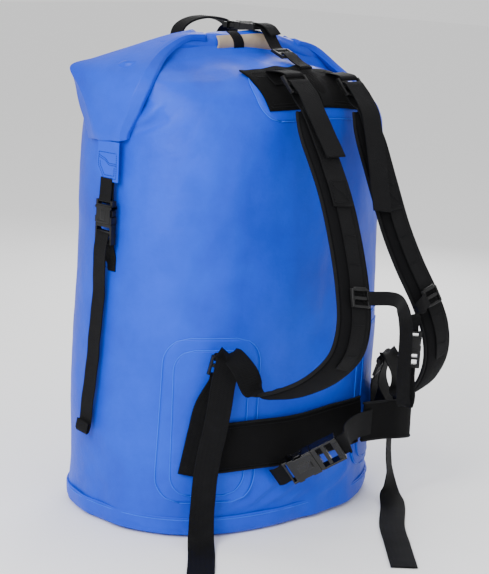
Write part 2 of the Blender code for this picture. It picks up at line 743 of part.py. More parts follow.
def chest_strap():
    """Two sliders on the pads, and a buckle that hangs beside the left one."""
    ends = {}
    for side, sign in SIDES.items():
        path, across = pad_line(side)
        k = int(np.argmin(np.abs(path[:, 2] - CHEST_SLIDER_Z[side])))
        t = unit(np.gradient(path, axis=0)[k])
        out = -unit(np.cross(across[k], t))
        centre = path[k] + out * (PAD_THICKNESS / 2 + 0.0060)
        frame = frame_at(centre, -t, out)
        ladder_lock(f"{side}_chest_slider", MIDDLE, frame, "chest_strap", 0.026, 0.0045)
        ends[side] = frame
    mouth = np.array(PIVOTS["chest_plug"])
    buckle = frame_at(mouth, (0.03, 0, 1), (-0.70, -0.70, 0))
    buckle_socket("chest_socket", NARROW, buckle, "chest_strap")
    buckle_plug("chest_plug", NARROW, buckle, "chest_plug")
    _, _, length, base = buckle_sizes(NARROW)
    across = buckle[1][0]
    width = NARROW - 0.0015
    left = [place(buckle, 0, length + 2 * BUTT, 0), place(buckle, 0, length + 0.010, 0.001)]
    left.append(place(ends["left"], -0.0360, -0.0060, 0.0035))
    left.append(place(ends["left"], -0.0180 - 2 * BUTT, 0, 0.0030))
    turns = [across, across, (0.2, 0.3, 0.9), (0, 0.4, 0.9)]
    strap("left_chest_webbing", left, turns, width, "chest_strap", 4)
    right = [place(ends["right"], 0.0180 + BUTT, 0, 0.0030), (-0.0440, -0.3560, 0.3700)]
    right += [(-0.0100, -0.3440, 0.3500), (0.0180, -0.3300, 0.3140)]
    right += [(0.0320, -0.3200, 0.2700), (0.0380, -0.3160, 0.2260)]
    right += [(0.0420, -0.3150, 0.2020), (0.0480, -0.3150, 0.1960), (0.0530, -0.3150, 0.2060)]
    right += [place(buckle, 0, -base - 0.012, 0.001), place(buckle, 0, -base - 0.0008, 0)]
    turns = [(0, 0.2, 1), (0.1, 0, 1), (0.3, -0.5, 0.8), (0.4, -0.8, 0.4), *[across] * 7]
    strap("right_chest_webbing", right, turns, width, "chest_strap", 3)


def hip_belt():
    grids = []
    for off in (0.0110, 0.0075):
        rows = []
        for f in (0, 0.5, 1):
            line = []
            for s in np.linspace(-0.184, 0.110, 16):
                line.append(bag_point(s, 0.098 + 0.072 * f, off))
            rows.append(line)
        grids.append(rows)
    grid_solid("right_hip_wing", "black_webbing", *grids, "root")

    wing = [bag_point(0.300, 0.125, 0.0080), bag_point(0.272, 0.126, 0.0160)]
    wing += [(0.2080, -0.1850, 0.128), (0.1860, -0.2180, 0.132), (0.1500, -0.2260, 0.138)]
    wing += [(0.1200, -0.2200, 0.141), (0.0750, -0.2160, 0.144)]
    strap("left_hip_wing", wing, (0, 0, 1), 0.056, "root", 4, 0.0030)

    mouth = np.array(PIVOTS["hip_plug"])
    buckle = frame_at(mouth, (-0.56, 0.62, -0.50), (-0.50, -0.72, -0.40))
    buckle_socket("hip_socket", WIDE, buckle, "root")
    buckle_plug("hip_plug", WIDE, buckle, "hip_plug")
    _, _, length, base = buckle_sizes(WIDE)
    across = buckle[1][0]
    points = [place(buckle, 0, -base - 0.0040, 0), place(buckle, 0, -base - 0.010, 0)]
    points += [(0.0120, -0.2420, 0.1430), (0.0420, -0.2280, 0.1450), (0.0735, -0.2160, 0.1440)]
    turns = [across, across, 0.5 * across + (0, 0, 0.7), (0, 0, 1), (0, 0, 1)]
    strap("hip_strap", points, turns, WIDE, "root", 4)
    loop = [place(buckle, 0, length + d, up) for d, up in ((BUTT, 0), (0.005, 0), (0.010, 0.001))]
    strap("hip_socket_webbing", loop, across, WIDE - 0.002, "root", 2)


def main():
    clear_scene()
    make_bodies()
    panel("front_panel", 0.0)
    panel("back_panel", math.pi)
    bottom_panel()
    mouth_collar()
    roll_top()
    closure_stiffener()
    patches()
    yoke()
    haul_handle()
    top_strap()
    chest_strap()
    hip_belt()
    for side, sign in SIDES.items():
        roll_end(side, sign)
        closure_tab(side, sign)
        side_closure(side, sign)
        shoulder_strap(side, sign)


main()
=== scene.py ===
"""Looks of a roll-top dry bag with a backpack harness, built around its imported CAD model.

Units are metres and +Z is up. The harness is on the -Y side, and the wearer's left is +X.
"""

import math

import bmesh
import bpy
import numpy as np
from mathutils import Matrix, Vector, noise


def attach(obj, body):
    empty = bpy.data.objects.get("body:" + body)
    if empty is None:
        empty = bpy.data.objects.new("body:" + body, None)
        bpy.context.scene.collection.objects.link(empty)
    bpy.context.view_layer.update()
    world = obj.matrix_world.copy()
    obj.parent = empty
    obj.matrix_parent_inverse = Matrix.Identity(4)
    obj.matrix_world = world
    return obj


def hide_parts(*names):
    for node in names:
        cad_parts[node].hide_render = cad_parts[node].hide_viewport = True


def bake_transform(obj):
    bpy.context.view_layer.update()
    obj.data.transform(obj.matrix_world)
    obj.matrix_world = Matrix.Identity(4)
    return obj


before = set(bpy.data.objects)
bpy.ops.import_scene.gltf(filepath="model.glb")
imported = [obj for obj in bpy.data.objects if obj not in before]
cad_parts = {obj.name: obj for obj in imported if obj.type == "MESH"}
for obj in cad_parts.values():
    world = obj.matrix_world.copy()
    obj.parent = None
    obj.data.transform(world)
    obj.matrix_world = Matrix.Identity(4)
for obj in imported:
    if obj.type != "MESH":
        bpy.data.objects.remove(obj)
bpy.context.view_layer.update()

SIDES = {"right": -1, "left": 1}  # the wearer's sides, and the sign of X there
SQUARENESS = 2.45
BAG_RINGS = (
    (0.0, 0.245, 0.18),
    (0.2, 0.244, 0.179),
    (0.4, 0.243, 0.179),
    (0.55, 0.242, 0.175),
    (0.6, 0.242, 0.168),
    (0.63, 0.241, 0.152),
    (0.65, 0.24, 0.124),
    (0.662, 0.238, 0.09),
    (0.67, 0.236, 0.05),
    (0.678, 0.232, 0.014),
)
ROLL_CENTRE = (-0.012, 0.69)
SLUMP_FROM, SLUMP_LEFT, SLUMP_RIGHT = 0.5, 0.042, 0.01
RIM_Z = 0.031  # top edge of the base cup
SKIN_TOP = 0.6775  # where the skin goes into the roll, before it slumps
ROUND = 1.3  # about the distance round the bag
NARROW, MIDDLE, WIDE = 0.02, 0.025, 0.038
WEBBING = 0.0018
PAD_WIDTH, PAD_THICKNESS = 0.062, 0.013
TOP_STRAP_X = 0.012
SIDE_BUCKLE = (-0.004, 0.441)
SIDE_X = 0.256


# ---------------------------------------------------------------- shader nodes


class Nodes:
    """A short way to write a node tree: every call adds one node and returns its first output."""

    def __init__(self, material):
        material.use_nodes = True
        self.tree = material.node_tree
        self.shader = self.tree.nodes["Principled BSDF"]

    def feed(self, socket, value):
        if isinstance(value, bpy.types.NodeSocket):
            self.tree.links.new(value, socket)
        elif value is not None:
            socket.default_value = value

    def add(self, kind, inputs=(), **settings):
        node = self.tree.nodes.new("ShaderNode" + kind)
        for key, value in settings.items():
            setattr(node, key, value)
        for key, value in dict(inputs).items():
            self.feed(node.inputs[key], value)
        return node

    def math(self, operation, a, b=None):
        node = self.add("Math", operation=operation)
        self.feed(node.inputs[0], a)
        self.feed(node.inputs[1], b)
        return node.outputs[0]

    def mix(self, factor, a, b):
        node = self.add("Mix", data_type="RGBA")
        self.feed(node.inputs[0], factor)
        self.feed(node.inputs[6], a)
        self.feed(node.inputs[7], b)
        return node.outputs[2]

    def noise(self, scale, detail=4.0, rough=0.5, vector=None):
        return self.add(
            "TexNoise", {"Scale": scale, "Detail": detail, "Roughness": rough, "Vector": vector}
        ).outputs[0]

    def ramp(self, value, low, high):
        node = self.add("MapRange", {"Value": value, "From Min": low, "From Max": high})
        return node.outputs[0]

    def wave(self, value, period):
        """Runs from -1 to 1 and back once in each period."""
        return self.math("SINE", self.math("MULTIPLY", value, 2 * math.pi / period))


def rgb(red, green, blue):
    """A linear colour from one in sRGB, 0 to 255."""
    return (*[((c / 255 + 0.055) / 1.055) ** 2.4 if c > 10 else c / 3295 for c in (red, green, blue)], 1)


def coated_fabric(name, colour, shade):
    """Smooth coated nylon with a fine plain weave under the coating."""
    material = bpy.data.materials.new(name)
    n = Nodes(material)
    place = n.add("TexCoord").outputs["Object"]
    uv = n.add("SeparateXYZ", {0: n.add("UVMap").outputs[0]})
    weave = n.math("MULTIPLY", n.wave(uv.outputs[0], 0.0011), n.wave(uv.outputs[1], 0.0011))
    cloud = n.noise(7.0, 5.0, 0.6, place)
    mottle = n.noise(45.0, 3.0, 0.6, place)
    tone = n.mix(n.ramp(cloud, 0.35, 0.68), rgb(*shade), rgb(*colour))
    tone = n.mix(
        n.math("MULTIPLY", n.ramp(mottle, 0.45, 0.8), 0.12), tone,
        rgb(*[min(255, c + 16) for c in colour])
    )
    n.feed(n.shader.inputs["Base Color"], tone)
    n.feed(n.shader.inputs["Roughness"], n.math("ADD", 0.4, n.math("MULTIPLY", mottle, 0.16)))
    n.feed(n.shader.inputs["Specular IOR Level"], 0.22)
    fine = n.add("Bump", {"Strength": 0.1, "Distance": 0.0004, "Height": weave})
    soft = n.add("Bump", {"Strength": 0.25, "Distance": 0.004, "Height": mottle, "Normal": fine.outputs[0]})
    n.feed(n.shader.inputs["Normal"], soft.outputs[0])
    return material


def woven(name, colour, rib, cross, rough=0.72, lift=10, depth=0.0006):
    """Ribbed webbing or pack cloth. rib and cross are the weave's periods along and across."""
    material = bpy.data.materials.new(name)
    n = Nodes(material)
    place = n.add("TexCoord").outputs["Object"]
    uv = n.add("SeparateXYZ", {0: n.add("UVMap").outputs[0]})
    zigzag = n.math("PINGPONG", uv.outputs[0], cross)
    ribs = n.wave(n.math("ADD", uv.outputs[1], n.math("MULTIPLY", zigzag, 0.7)), rib)
    threads = n.wave(uv.outputs[0], cross / 2)
    height = n.math("ADD", n.math("MULTIPLY", ribs, 0.6), n.math("MULTIPLY", threads, 0.4))
    wear = n.noise(60.0, 4.0, 0.7, place)
    light = rgb(*[c + lift for c in colour])
    tone = n.mix(n.ramp(height, -1.0, 1.0), rgb(*[max(0, c - 6) for c in colour]), rgb(*colour))
    tone = n.mix(n.math("MULTIPLY", n.ramp(wear, 0.5, 0.85), 0.6), tone, light)
    n.feed(n.shader.inputs["Base Color"], tone)
    n.feed(n.shader.inputs["Roughness"], rough)
    n.feed(n.shader.inputs["Specular IOR Level"], 0.12)
    bump = n.add("Bump", {"Strength": 0.6, "Distance": depth, "Height": height})
    n.feed(n.shader.inputs["Normal"], bump.outputs[0])
    return material


def moulded(name, colour, rough, coat=0.0):
    """Moulded plastic with a faint texture and rubbed high spots."""
    material = bpy.data.materials.new(name)
    n = Nodes(material)
    place = n.add("TexCoord").outputs["Object"]
    grain = n.noise(900.0, 3.0, 0.6, place)
    cloud = n.noise(55.0, 3.0, 0.5, place)
    tone = n.mix(n.ramp(cloud, 0.4, 0.75), rgb(*colour), rgb(*[c + 14 for c in colour]))
    n.feed(n.shader.inputs["Base Color"], tone)
    n.feed(n.shader.inputs["Roughness"], n.math("ADD", rough, n.math("MULTIPLY", cloud, 0.12)))
    n.feed(n.shader.inputs["Specular IOR Level"], 0.25)
    n.feed(n.shader.inputs["Coat Weight"], coat)
    n.feed(n.shader.inputs["Coat Roughness"], 0.12)
    bump = n.add("Bump", {"Strength": 0.15, "Distance": 0.0003, "Height": grain})
    n.feed(n.shader.inputs["Normal"], bump.outputs[0])
    return material


BLUE = coated_fabric("blue_coated_fabric", (6, 66, 206), (2, 52, 180))
BLUE_PATCH = coated_fabric("blue_patch_fabric", (8, 68, 208), (3, 54, 184))
# A lighter blue for the patch edges and the weld line round the base: a painted highlight along the raised
# welds, not a colour of the cloth.
WELD_HIGHLIGHT = coated_fabric("blue_weld_painted_highlight", (34, 96, 226), (24, 84, 214))
BLUE_STITCH = woven("blue_thread", (12, 44, 140), 0.001, 0.0006, 0.6)
WEB = woven("black_webbing_weave", (11, 11, 13), 0.0024, 0.0034)
BELT = woven("black_belt_cloth", (8, 8, 9), 0.0016, 0.0016, 0.85, 6, 0.0004)
PAD = woven("black_pack_cloth", (9, 9, 11), 0.0013, 0.0013, 0.88, 6, 0.0004)
BINDING = woven("black_binding_tape", (16, 16, 18), 0.0011, 0.003, 0.65, 12)
THREAD = woven("black_thread", (24, 24, 27), 0.001, 0.0006, 0.55)
PLASTIC = moulded("black_moulded_plastic", (6, 6, 7), 0.34)
GLOSS = moulded("glossy_black_plastic", (5, 5, 6), 0.2, 0.25)
TAN = moulded("tan_strip_plastic", (146, 130, 110), 0.5)


# ---------------------------------------------------------------- meshes


def finish_piece(name, mesh, material, body, replaces=(), bevel=0.0):
    """Puts a mesh in the scene as one piece. body is one name to attach it to; a tuple (a, b, start, end) is
    not read, and the piece is then left unattached with its transform baked.
    """
    mesh.materials.append(material)
    piece = bpy.data.objects.new(name, mesh)
    bpy.context.scene.collection.objects.link(piece)
    mesh.shade_smooth()
    if bevel:
        modifier = piece.modifiers.new("Edges", "BEVEL")
        modifier.width, modifier.segments, modifier.limit_method = bevel, 3, "ANGLE"
        modifier.harden_normals = True
        mesh.set_sharp_from_angle(angle=math.radians(40))
    if isinstance(body, str):
        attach(piece, body)
    else:
        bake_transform(piece)
    if replaces:
        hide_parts(*replaces)
    return piece


def thicken(piece, thickness, offset):
    """Gives a sheet its thickness. offset is -1 inwards, 0 both ways."""
    modifier = piece.modifiers.new("Thickness", "SOLIDIFY")
    modifier.thickness, modifier.offset = thickness, offset


def grid_mesh(name, points, uv, wrap=False, caps=False):
    """A mesh over a grid of points. wrap joins the last column to the first, caps closes the end rows."""
    rows, columns = points.shape[:2]
    mesh = bpy.data.meshes.new(name)
    faces, corners = [], []
    for r in range(rows - 1):
        for c in range(columns if wrap else columns - 1):
            d = (c + 1) % columns
            faces.append((r * columns + c, r * columns + d, (r + 1) * columns + d, (r + 1) * columns + c))
            corners.append(((r, c), (r, c + 1), (r + 1, c + 1), (r + 1, c)))
    if caps:
        for r in (0, rows - 1):
            ring = list(range(columns)) if r else list(range(columns - 1, -1, -1))
            faces.append(tuple(r * columns + c for c in ring))
            corners.append(tuple((r, c) for c in ring))
    mesh.from_pydata([tuple(p) for p in points.reshape(-1, 3)], [], faces)
    layer = mesh.uv_layers.new(name="UVMap")
    flat = [uv[r][c] for face in corners for r, c in face]
    layer.data.foreach_set("uv", np.array(flat, np.float32).ravel())
    mesh.validate()
    return mesh


def unit(v):
    v = np.asarray(v, float)
    return v / np.maximum(np.linalg.norm(v, axis=-1, keepdims=True), 1e-12)


def distances(line):
    """How far along the line each of its points is."""
    return np.concatenate([[0], np.cumsum(np.linalg.norm(np.diff(line, axis=0), axis=1))])


def smooth_path(points, steps):
    """A centripetal Catmull-Rom curve through the points."""
    points = np.asarray(points, float)
    ends = np.vstack([2 * points[0] - points[1], points, 2 * points[-1] - points[-2]])
    knots = np.sqrt(np.linalg.norm(np.diff(ends, axis=0), axis=1))
    slopes = np.diff(ends, axis=0) / knots[:, None]
    wide = (ends[2:] - ends[:-2]) / (knots[:-1] + knots[1:])[:, None]
    speeds = slopes[:-1] - wide + slopes[1:]
    path = []
    for k in range(len(points) - 1):
        a, b = points[k], points[k + 1]
        leave, arrive = speeds[k] * knots[k + 1], speeds[k + 1] * knots[k + 1]
        for t in np.linspace(0, 1, steps, endpoint=False):
            bend = (1 - t) * leave - t * arrive + (1 - 2 * t) * (a - b)
            path.append(a + (b - a) * t + t * (1 - t) * bend)
    path.append(points[-1])
    return np.array(path)


def even_steps(rows, steps):
    rows = np.array([np.asarray(row, float) for row in rows])
    places = np.linspace(0, len(rows) - 1, (len(rows) - 1) * steps + 1)
    return np.stack([np.interp(places, range(len(rows)), column) for column in rows.T], axis=1)


def resample(path, across, spacing):
    """The path and its across vectors at even spacing."""
    lengths = distances(path)
    count = max(3, int(lengths[-1] / spacing) + 1)
    places = np.linspace(0, lengths[-1], count)
    rows = np.hstack([path, across])
    rows = np.stack([np.interp(places, lengths, column) for column in rows.T], axis=1)
    return rows[:, :3], rows[:, 3:], places


def sweep(path, across, outlines):
    """Carries an outline, or one for each point, along the path. An outline is (across, out) points."""
    tangents = unit(np.gradient(path, axis=0))
    wide = unit(across - tangents * np.sum(across * tangents, axis=1, keepdims=True))
    out = np.cross(wide, tangents)
    outlines = np.broadcast_to(outlines, (len(path), *np.shape(outlines)[-2:]))
    return path[:, None] + wide[:, None] * outlines[..., :1] + out[:, None] * outlines[..., 1:]


def band_outline(width, thickness, crown=0.0):
    """The outline of flat webbing, with rounded edges and a slight selvedge."""
    half, t = width / 2, thickness / 2
    upper = [(-half, 0), (-half * 0.985, t * 0.8), (-half * 0.93, t), (-half * 0.86, t * 0.86)]
    upper += [(-half * 0.45, t * 0.9 + crown * 0.8), (0, t * 0.9 + crown)]
    upper += [(-x, y) for x, y in upper[-2::-1]]
    lower = [(x, -y if x else -t * 0.9 + crown) for x, y in upper[-2:0:-1]]
    return np.array(upper + lower)


def ribbon(
    name, points, across, width, body, replaces=(), material=None, thickness=WEBBING, wave=0.0, steps=8
):
    """Webbing along a smooth curve. across is one vector or one per point, wave is how much it ripples."""
    path = smooth_path(points, steps)
    if np.ndim(across[0]):
        across = even_steps(across, steps)
    else:
        across = np.tile(across, (len(path), 1)).astype(float)
    path, across, lengths = resample(path, across, 0.0035)
    if wave:
        tangents = unit(np.gradient(path, axis=0))
        side = unit(np.cross(unit(across), tangents))
        phase = sum(ord(c) for c in name) * 0.37
        swing = np.sin(lengths * 61 + phase) * 0.6 + np.sin(lengths * 137 + 2 * phase) * 0.4
        fade = np.minimum(1, np.minimum(lengths, lengths[-1] - lengths) / 0.03)
        path = path + side * (wave * swing * fade)[:, None]
    outline = band_outline(width, thickness)
    rings = sweep(path, across, outline)
    around = [*distances(outline), 2 * width]
    uv = [[(u, v) for u in around] for v in lengths]
    mesh = grid_mesh(name, rings, uv, wrap=True, caps=True)
    return finish_piece(name, mesh, material or WEB, body, replaces)


def frame_at(origin, along, out):
    """Local x across, y along and z out."""
    along = unit(along)
    out = np.asarray(out, float)
    out = unit(out - along * np.dot(out, along))
    return np.asarray(origin, float), (np.cross(along, out), along, out)


def place(at, x, y, z):
    origin, axes = at
    return origin + x * axes[0] + y * axes[1] + z * axes[2]


def closed_mesh(bm, name):
    """Turns the faces outwards and makes the bmesh a mesh."""
    bmesh.ops.recalc_face_normals(bm, faces=bm.faces)
    mesh = bpy.data.meshes.new(name)
    bm.to_mesh(mesh)
    bm.free()
    return mesh


def moulding(name, at, blocks, body, replaces=(), bevel=0.0008, material=None):
    """Moulded plastic from blocks (x, y, z, size x, size y, size z, taper) in a local frame."""
    bm = bmesh.new()
    for x, y, z, sx, sy, sz, taper in blocks:
        corners = []
        for dz in (-0.5, 0.5):
            narrow = taper if dz > 0 else 1.0
            for dx, dy in ((-0.5, -0.5), (0.5, -0.5), (0.5, 0.5), (-0.5, 0.5)):
                point = place(at, x + dx * sx * narrow, y + dy * sy * narrow, z + dz * sz)
                corners.append(bm.verts.new(point))
        quads = ((3, 2, 1, 0), (4, 5, 6, 7), (0, 1, 5, 4), (1, 2, 6, 5), (2, 3, 7, 6), (3, 0, 4, 7))
        for quad in quads:
            bm.faces.new([corners[i] for i in quad])
    mesh = closed_mesh(bm, name)
    return finish_piece(name, mesh, material or PLASTIC, body, replaces, bevel)


def stitches(name, lines, body, material=None, pitch=0.0042, radius=0.00045):
    """Rows of thread dashes along polylines."""
    points, faces = [], []
    for line in lines:
        line = np.asarray(line, float)
        lengths = distances(line)
        for start in np.arange(0, lengths[-1] - pitch * 0.6, pitch):
            spots = (start, start + pitch * 0.68)
            ends = np.stack([np.interp(spots, lengths, column) for column in line.T], axis=1)
            along = unit(ends[1] - ends[0])
            side = unit(np.cross(along, (0.31, 0.52, 0.79)))
            up = np.cross(along, side)
            first = len(points)
            for f, r in ((0, 0.3), (0.2, 1), (0.8, 1), (1, 0.3)):
                centre = ends[0] + (ends[1] - ends[0]) * f
                for a in np.linspace(0, 2 * math.pi, 6, endpoint=False):
                    points.append(centre + radius * r * (side * math.cos(a) + up * math.sin(a)))
            for ring in range(3):
                for i in range(6):
                    j = (i + 1) % 6
                    a, b = first + ring * 6, first + ring * 6 + 6
                    faces.append((a + i, a + j, b + j, b + i))
            faces.append(tuple(first + i for i in range(5, -1, -1)))
            faces.append(tuple(first + 18 + i for i in range(6)))
    mesh = bpy.data.meshes.new(name)
    mesh.from_pydata([tuple(p) for p in points], [], faces)
    mesh.uv_layers.new(name="UVMap")
    return finish_piece(name, mesh, material or THREAD, body)


# ---------------------------------------------------------------- the bag's surface


def slumped(points):
    """The top of the bag sags towards its two ends."""
    points = np.array(points, float)
    x, z = points[..., 0], points[..., 2]
    reach = np.clip((z - SLUMP_FROM) / (ROLL_CENTRE[1] - SLUMP_FROM), 0, 1)
    left, right = np.maximum(0, x / 0.2), np.maximum(0, -x / 0.236)
    sag = SLUMP_LEFT * left**1.6 + SLUMP_RIGHT * right**2
    points[..., 2] = z - sag * reach * reach * (3 - 2 * reach)
    return points


def ring_size(z):
    heights, widths, depths = zip(*BAG_RINGS)
    spread = np.array((-0.008, -0.004, 0, 0.004, 0.008))
    near = np.clip(z, 0, 0.64)
    width = np.interp(z, heights, widths)
    depth = np.interp(z, heights, depths)
    smooth = np.mean([np.interp(near + d, heights, depths) for d in spread], axis=0)
    return width, np.where(z < 0.64, smooth, depth)


def plan(z, angles):
    """Points round the bag at height z, from -Y towards +X, before it slumps."""
    width, depth = ring_size(z)
    across, along = np.sin(angles), -np.cos(angles)
    x = width * np.sign(across) * np.abs(across) ** (2 / SQUARENESS)
    y = depth * np.sign(along) * np.abs(along) ** (2 / SQUARENESS)
    return np.stack([x, y, np.full_like(x, z)], axis=-1)


ANGLES = np.linspace(-math.pi, math.pi, 1441)


def girth(points):
    """How far round each point is from the middle of the harness side."""
    length = distances(points)
    return length - np.interp(0, np.linspace(-1, 1, len(length)), length)


def bag_points(s, z, off=0.0):
    """Points of the bag's outside, s round and z up, moved outwards by off."""
    s, z, off = np.broadcast_arrays(*[np.asarray(v, float) for v in (s, z, off)])
    out = np.zeros((*s.shape, 3))
    for k in np.ndindex(s.shape):
        spots = []
        for dz in (-0.002, 0.002):
            ring = plan(z[k] + dz, ANGLES)
            length = girth(ring)
            for ds in (-0.002, 0.002):
                spots.append([np.interp(s[k] + ds, length, ring[:, a]) for a in range(3)])
        a, b, c, d = slumped(spots)
        normal = unit(np.cross(b - a + d - c, c - a + d - b))
        out[k] = (a + b + c + d) / 4 + off[k] * normal
    return out


def line_distance(s, z, line):
    """Distance to a polyline, which side of it a point is on, and how far along it the nearest point is."""
    line = np.asarray(line, float)
    best = np.full(s.shape, 9.0)
    side = np.zeros(s.shape)
    where = np.zeros(s.shape)
    count = len(line) - 1
    for k, (a, b) in enumerate(zip(line, line[1:])):
        d = b - a
        t = np.clip(((s - a[0]) * d[0] + (z - a[1]) * d[1]) / (d @ d), 0, 1)
        ds, dz = s - a[0] - t * d[0], z - a[1] - t * d[1]
        distance = np.hypot(ds, dz)
        closer = distance < best
        best = np.where(closer, distance, best)
        side = np.where(closer, np.sign(d[0] * dz - d[1] * ds), side)
        where = np.where(closer, (k + t) / count, where)
    return best, side, where


# Folds in the cloth: points (round, up), height, width. A negative height is a valley.
FOLDS = (
    (((-0.164, 0.036), (-0.136, 0.052), (-0.104, 0.07)), 0.0042, 0.0055),
    (((-0.15, 0.036), (-0.105, 0.047), (-0.06, 0.073)), 0.0048, 0.006),
    (((-0.1, 0.036), (-0.055, 0.049), (-0.015, 0.068)), 0.0036, 0.006),
    (((-0.05, 0.036), (-0.01, 0.047), (0.03, 0.064)), 0.003, 0.0065),
    (((0.012, 0.036), (0.06, 0.045), (0.106, 0.061)), 0.004, 0.006),
    (((-0.14, 0.034), (-0.1, 0.052)), -0.0022, 0.007),
    (((-0.3, 0.585), (-0.275, 0.596), (-0.246, 0.62)), 0.0046, 0.006),
    (((-0.3, 0.575), (-0.27, 0.586), (-0.24, 0.6)), -0.005, 0.0075),
    (((-0.29, 0.612), (-0.262, 0.626)), -0.003, 0.008),
    (((-0.215, 0.56), (-0.15, 0.53)), -0.0022, 0.017),
    (((-0.225, 0.505), (-0.16, 0.48)), -0.0024, 0.018),
    (((-0.235, 0.455), (-0.18, 0.43)), -0.0018, 0.016),
    (((-0.215, 0.532), (-0.165, 0.506)), 0.0016, 0.014),
    (((-0.12, 0.56), (-0.115, 0.43), (-0.135, 0.33)), -0.0028, 0.023),
    (((-0.052, 0.56), (-0.05, 0.42), (-0.07, 0.28)), 0.0022, 0.02),
    (((0.02, 0.57), (0.03, 0.4), (0.01, 0.24)), -0.0024, 0.02),
    (((0.09, 0.56), (0.1, 0.42)), 0.002, 0.018),
    (((-0.33, 0.5), (-0.326, 0.36), (-0.34, 0.22)), -0.002, 0.02),
    (((0.3, 0.52), (0.31, 0.42)), -0.0026, 0.02),
    (((0.26, 0.034), (0.3, 0.05), (0.34, 0.072)), 0.0026, 0.007),
    (((0.44, 0.034), (0.5, 0.06)), 0.0022, 0.008),
    (((-0.44, 0.034), (-0.4, 0.052), (-0.37, 0.07)), 0.0022, 0.007),
    (((-0.56, 0.034), (-0.52, 0.058)), 0.0024, 0.008),
    (((0.56, 0.56), (0.58, 0.44), (0.57, 0.33)), -0.0026, 0.023),
    (((-0.5, 0.55), (-0.52, 0.42)), 0.0024, 0.022),
)


def skin_push(s, z):
    """How far the filled bag's skin stands out from its plain shape."""
    push = 0.0016 * np.sin(s * 9.2 + 1.0) * np.sin(z * 11.0 + 0.4)
    push += 0.0012 * np.sin(s * 21.0 + 4.0 * np.sin(z * 7.0))
    flat = np.stack([s * 5.2, z * 4.2, s * z], axis=-1).reshape(-1, 3)
    rough = np.array([noise.fractal(Vector(p), 0.9, 2.1, 4) for p in flat]).reshape(s.shape)
    push += 0.0034 * rough
    for line, height, width in FOLDS:
        distance, side, where = line_distance(s, z, line)
        fade = np.sin(np.clip(where, 0.02, 0.98) * math.pi) ** 0.6
        lean = width * np.where(side > 0, 1.5, 0.8)
        push += height * fade * np.exp(-((distance / lean) ** 2))
    # Small puckers where the cloth gathers towards the roll and where it meets the base.
    top = np.clip((z - 0.6) / 0.06, 0, 1) ** 2
    push += top * 0.0016 * np.sin(s * 75 + 3 * np.sin(s * 13))
    low = np.clip(1 - (z - RIM_Z) / 0.045, 0, 1) ** 2
    push += low * (0.0012 * np.sin(s * 62 + 2 * np.sin(s * 17)) + 0.0012)
    return push


def bag_skin():
    """The filled body, from the base cup to the roll, as one sheet."""
    angles = np.linspace(-math.pi, math.pi, 440, endpoint=False)
    heights = np.concatenate([np.linspace(0.006, 0.6, 150), np.linspace(0.603, SKIN_TOP, 34)])
    base = np.array([plan(z, angles) for z in heights])
    rounds = np.array([girth(ring) for ring in base])
    ups = np.repeat(heights[:, None], len(angles), axis=1)
    base = slumped(base)
    du = np.roll(base, -1, axis=1) - np.roll(base, 1, axis=1)
    dv = np.gradient(base, axis=0)
    normal = unit(np.cross(du, dv))
    calm = np.clip((SKIN_TOP - ups) / 0.02, 0, 1)[..., None]
    points = base + normal * skin_push(rounds, ups)[..., None] * calm
    # The mouth closes up under the roll and into it.
    inside = np.clip((0.184 - np.abs(points[..., :1])) / 0.034, 0, 1)
    rise = 0.01 * inside - 0.004 * (1 - inside)
    points[..., 2:] += np.clip((ups - 0.6762) / 0.0013, 0, 1)[..., None] * rise
    points[..., 1:2] += np.clip((ups - 0.668) / 0.0095, 0, 1)[..., None] * ROLL_CENTRE[0]
    columns = len(angles)
    uv = [
        [(rounds[r][c % columns] + (c == columns) * ROUND, heights[r]) for c in range(columns + 1)]
        for r in range(len(heights))
    ]
    mesh = grid_mesh("bag_skin", points, uv, wrap=True)
    bend = ("bag", "closure", (0, 0, 0.664), (0, 0, 0.686))
    skin = finish_piece("bag_skin", mesh, BLUE, bend, ("front_panel", "back_panel", "mouth_collar"))


def base_cup():
    """The bottom panel: a shallow cup with a rounded edge and a welded rim."""
    angles = np.linspace(-math.pi, math.pi, 300, endpoint=False)
    s = girth(plan(0.01, angles))
    pucker = 0.0008 * np.sin(s * 62 + 2 * np.sin(s * 17))
    profile = [(-0.18, 0.0012), (-0.09, 0.001), (-0.03, 0.0008), (-0.014, 0.0005), (-0.006, 0.002)]
    profile += [(-0.001, 0.005), (0.0016, 0.01), (0.0028, 0.016), (0.0032, 0.024), (0.0032, RIM_Z - 0.0012)]
    profile += [(0.003, RIM_Z - 0.0003), (0.0024, RIM_Z), (0.0004, RIM_Z - 0.0004)]
    rows, uv = [], []
    run = 0
    for off, z in smooth_path([(a, b, 0) for a, b in profile], 3)[:, :2]:
        ring = plan(max(z, 0.0), angles)
        shrink = 1 + (off + pucker * np.clip(z / 0.012, 0, 1)) / np.linalg.norm(ring[:, :2], axis=1)
        ring[:, :2] *= shrink[:, None]
        rows.append(ring)
        run += 0.003
        uv.append([(t, run) for t in [*s, ROUND]])
    mesh = grid_mesh("base_cup", np.array(rows), uv, wrap=True)
    centre = bmesh.new()
    centre.from_mesh(mesh)
    centre.verts.ensure_lookup_table()
    centre.faces.new([centre.verts[i] for i in range(len(angles) - 1, -1, -1)])
    centre.to_mesh(mesh)
    centre.free()
    finish_piece("base_cup", mesh, BLUE_PATCH, "bag", ("bottom_panel",))
    # The weld line round the base is a thin tube in the lighter blue: a painted highlight on the weld.
    line = bag_points(np.linspace(-0.64, 0.64, 240), RIM_Z - 0.004, 0.0034)
    mesh = tube_mesh("base_weld_highlight_line", line, 0.0006)
    finish_piece("base_weld_highlight_line", mesh, WELD_HIGHLIGHT, "bag")


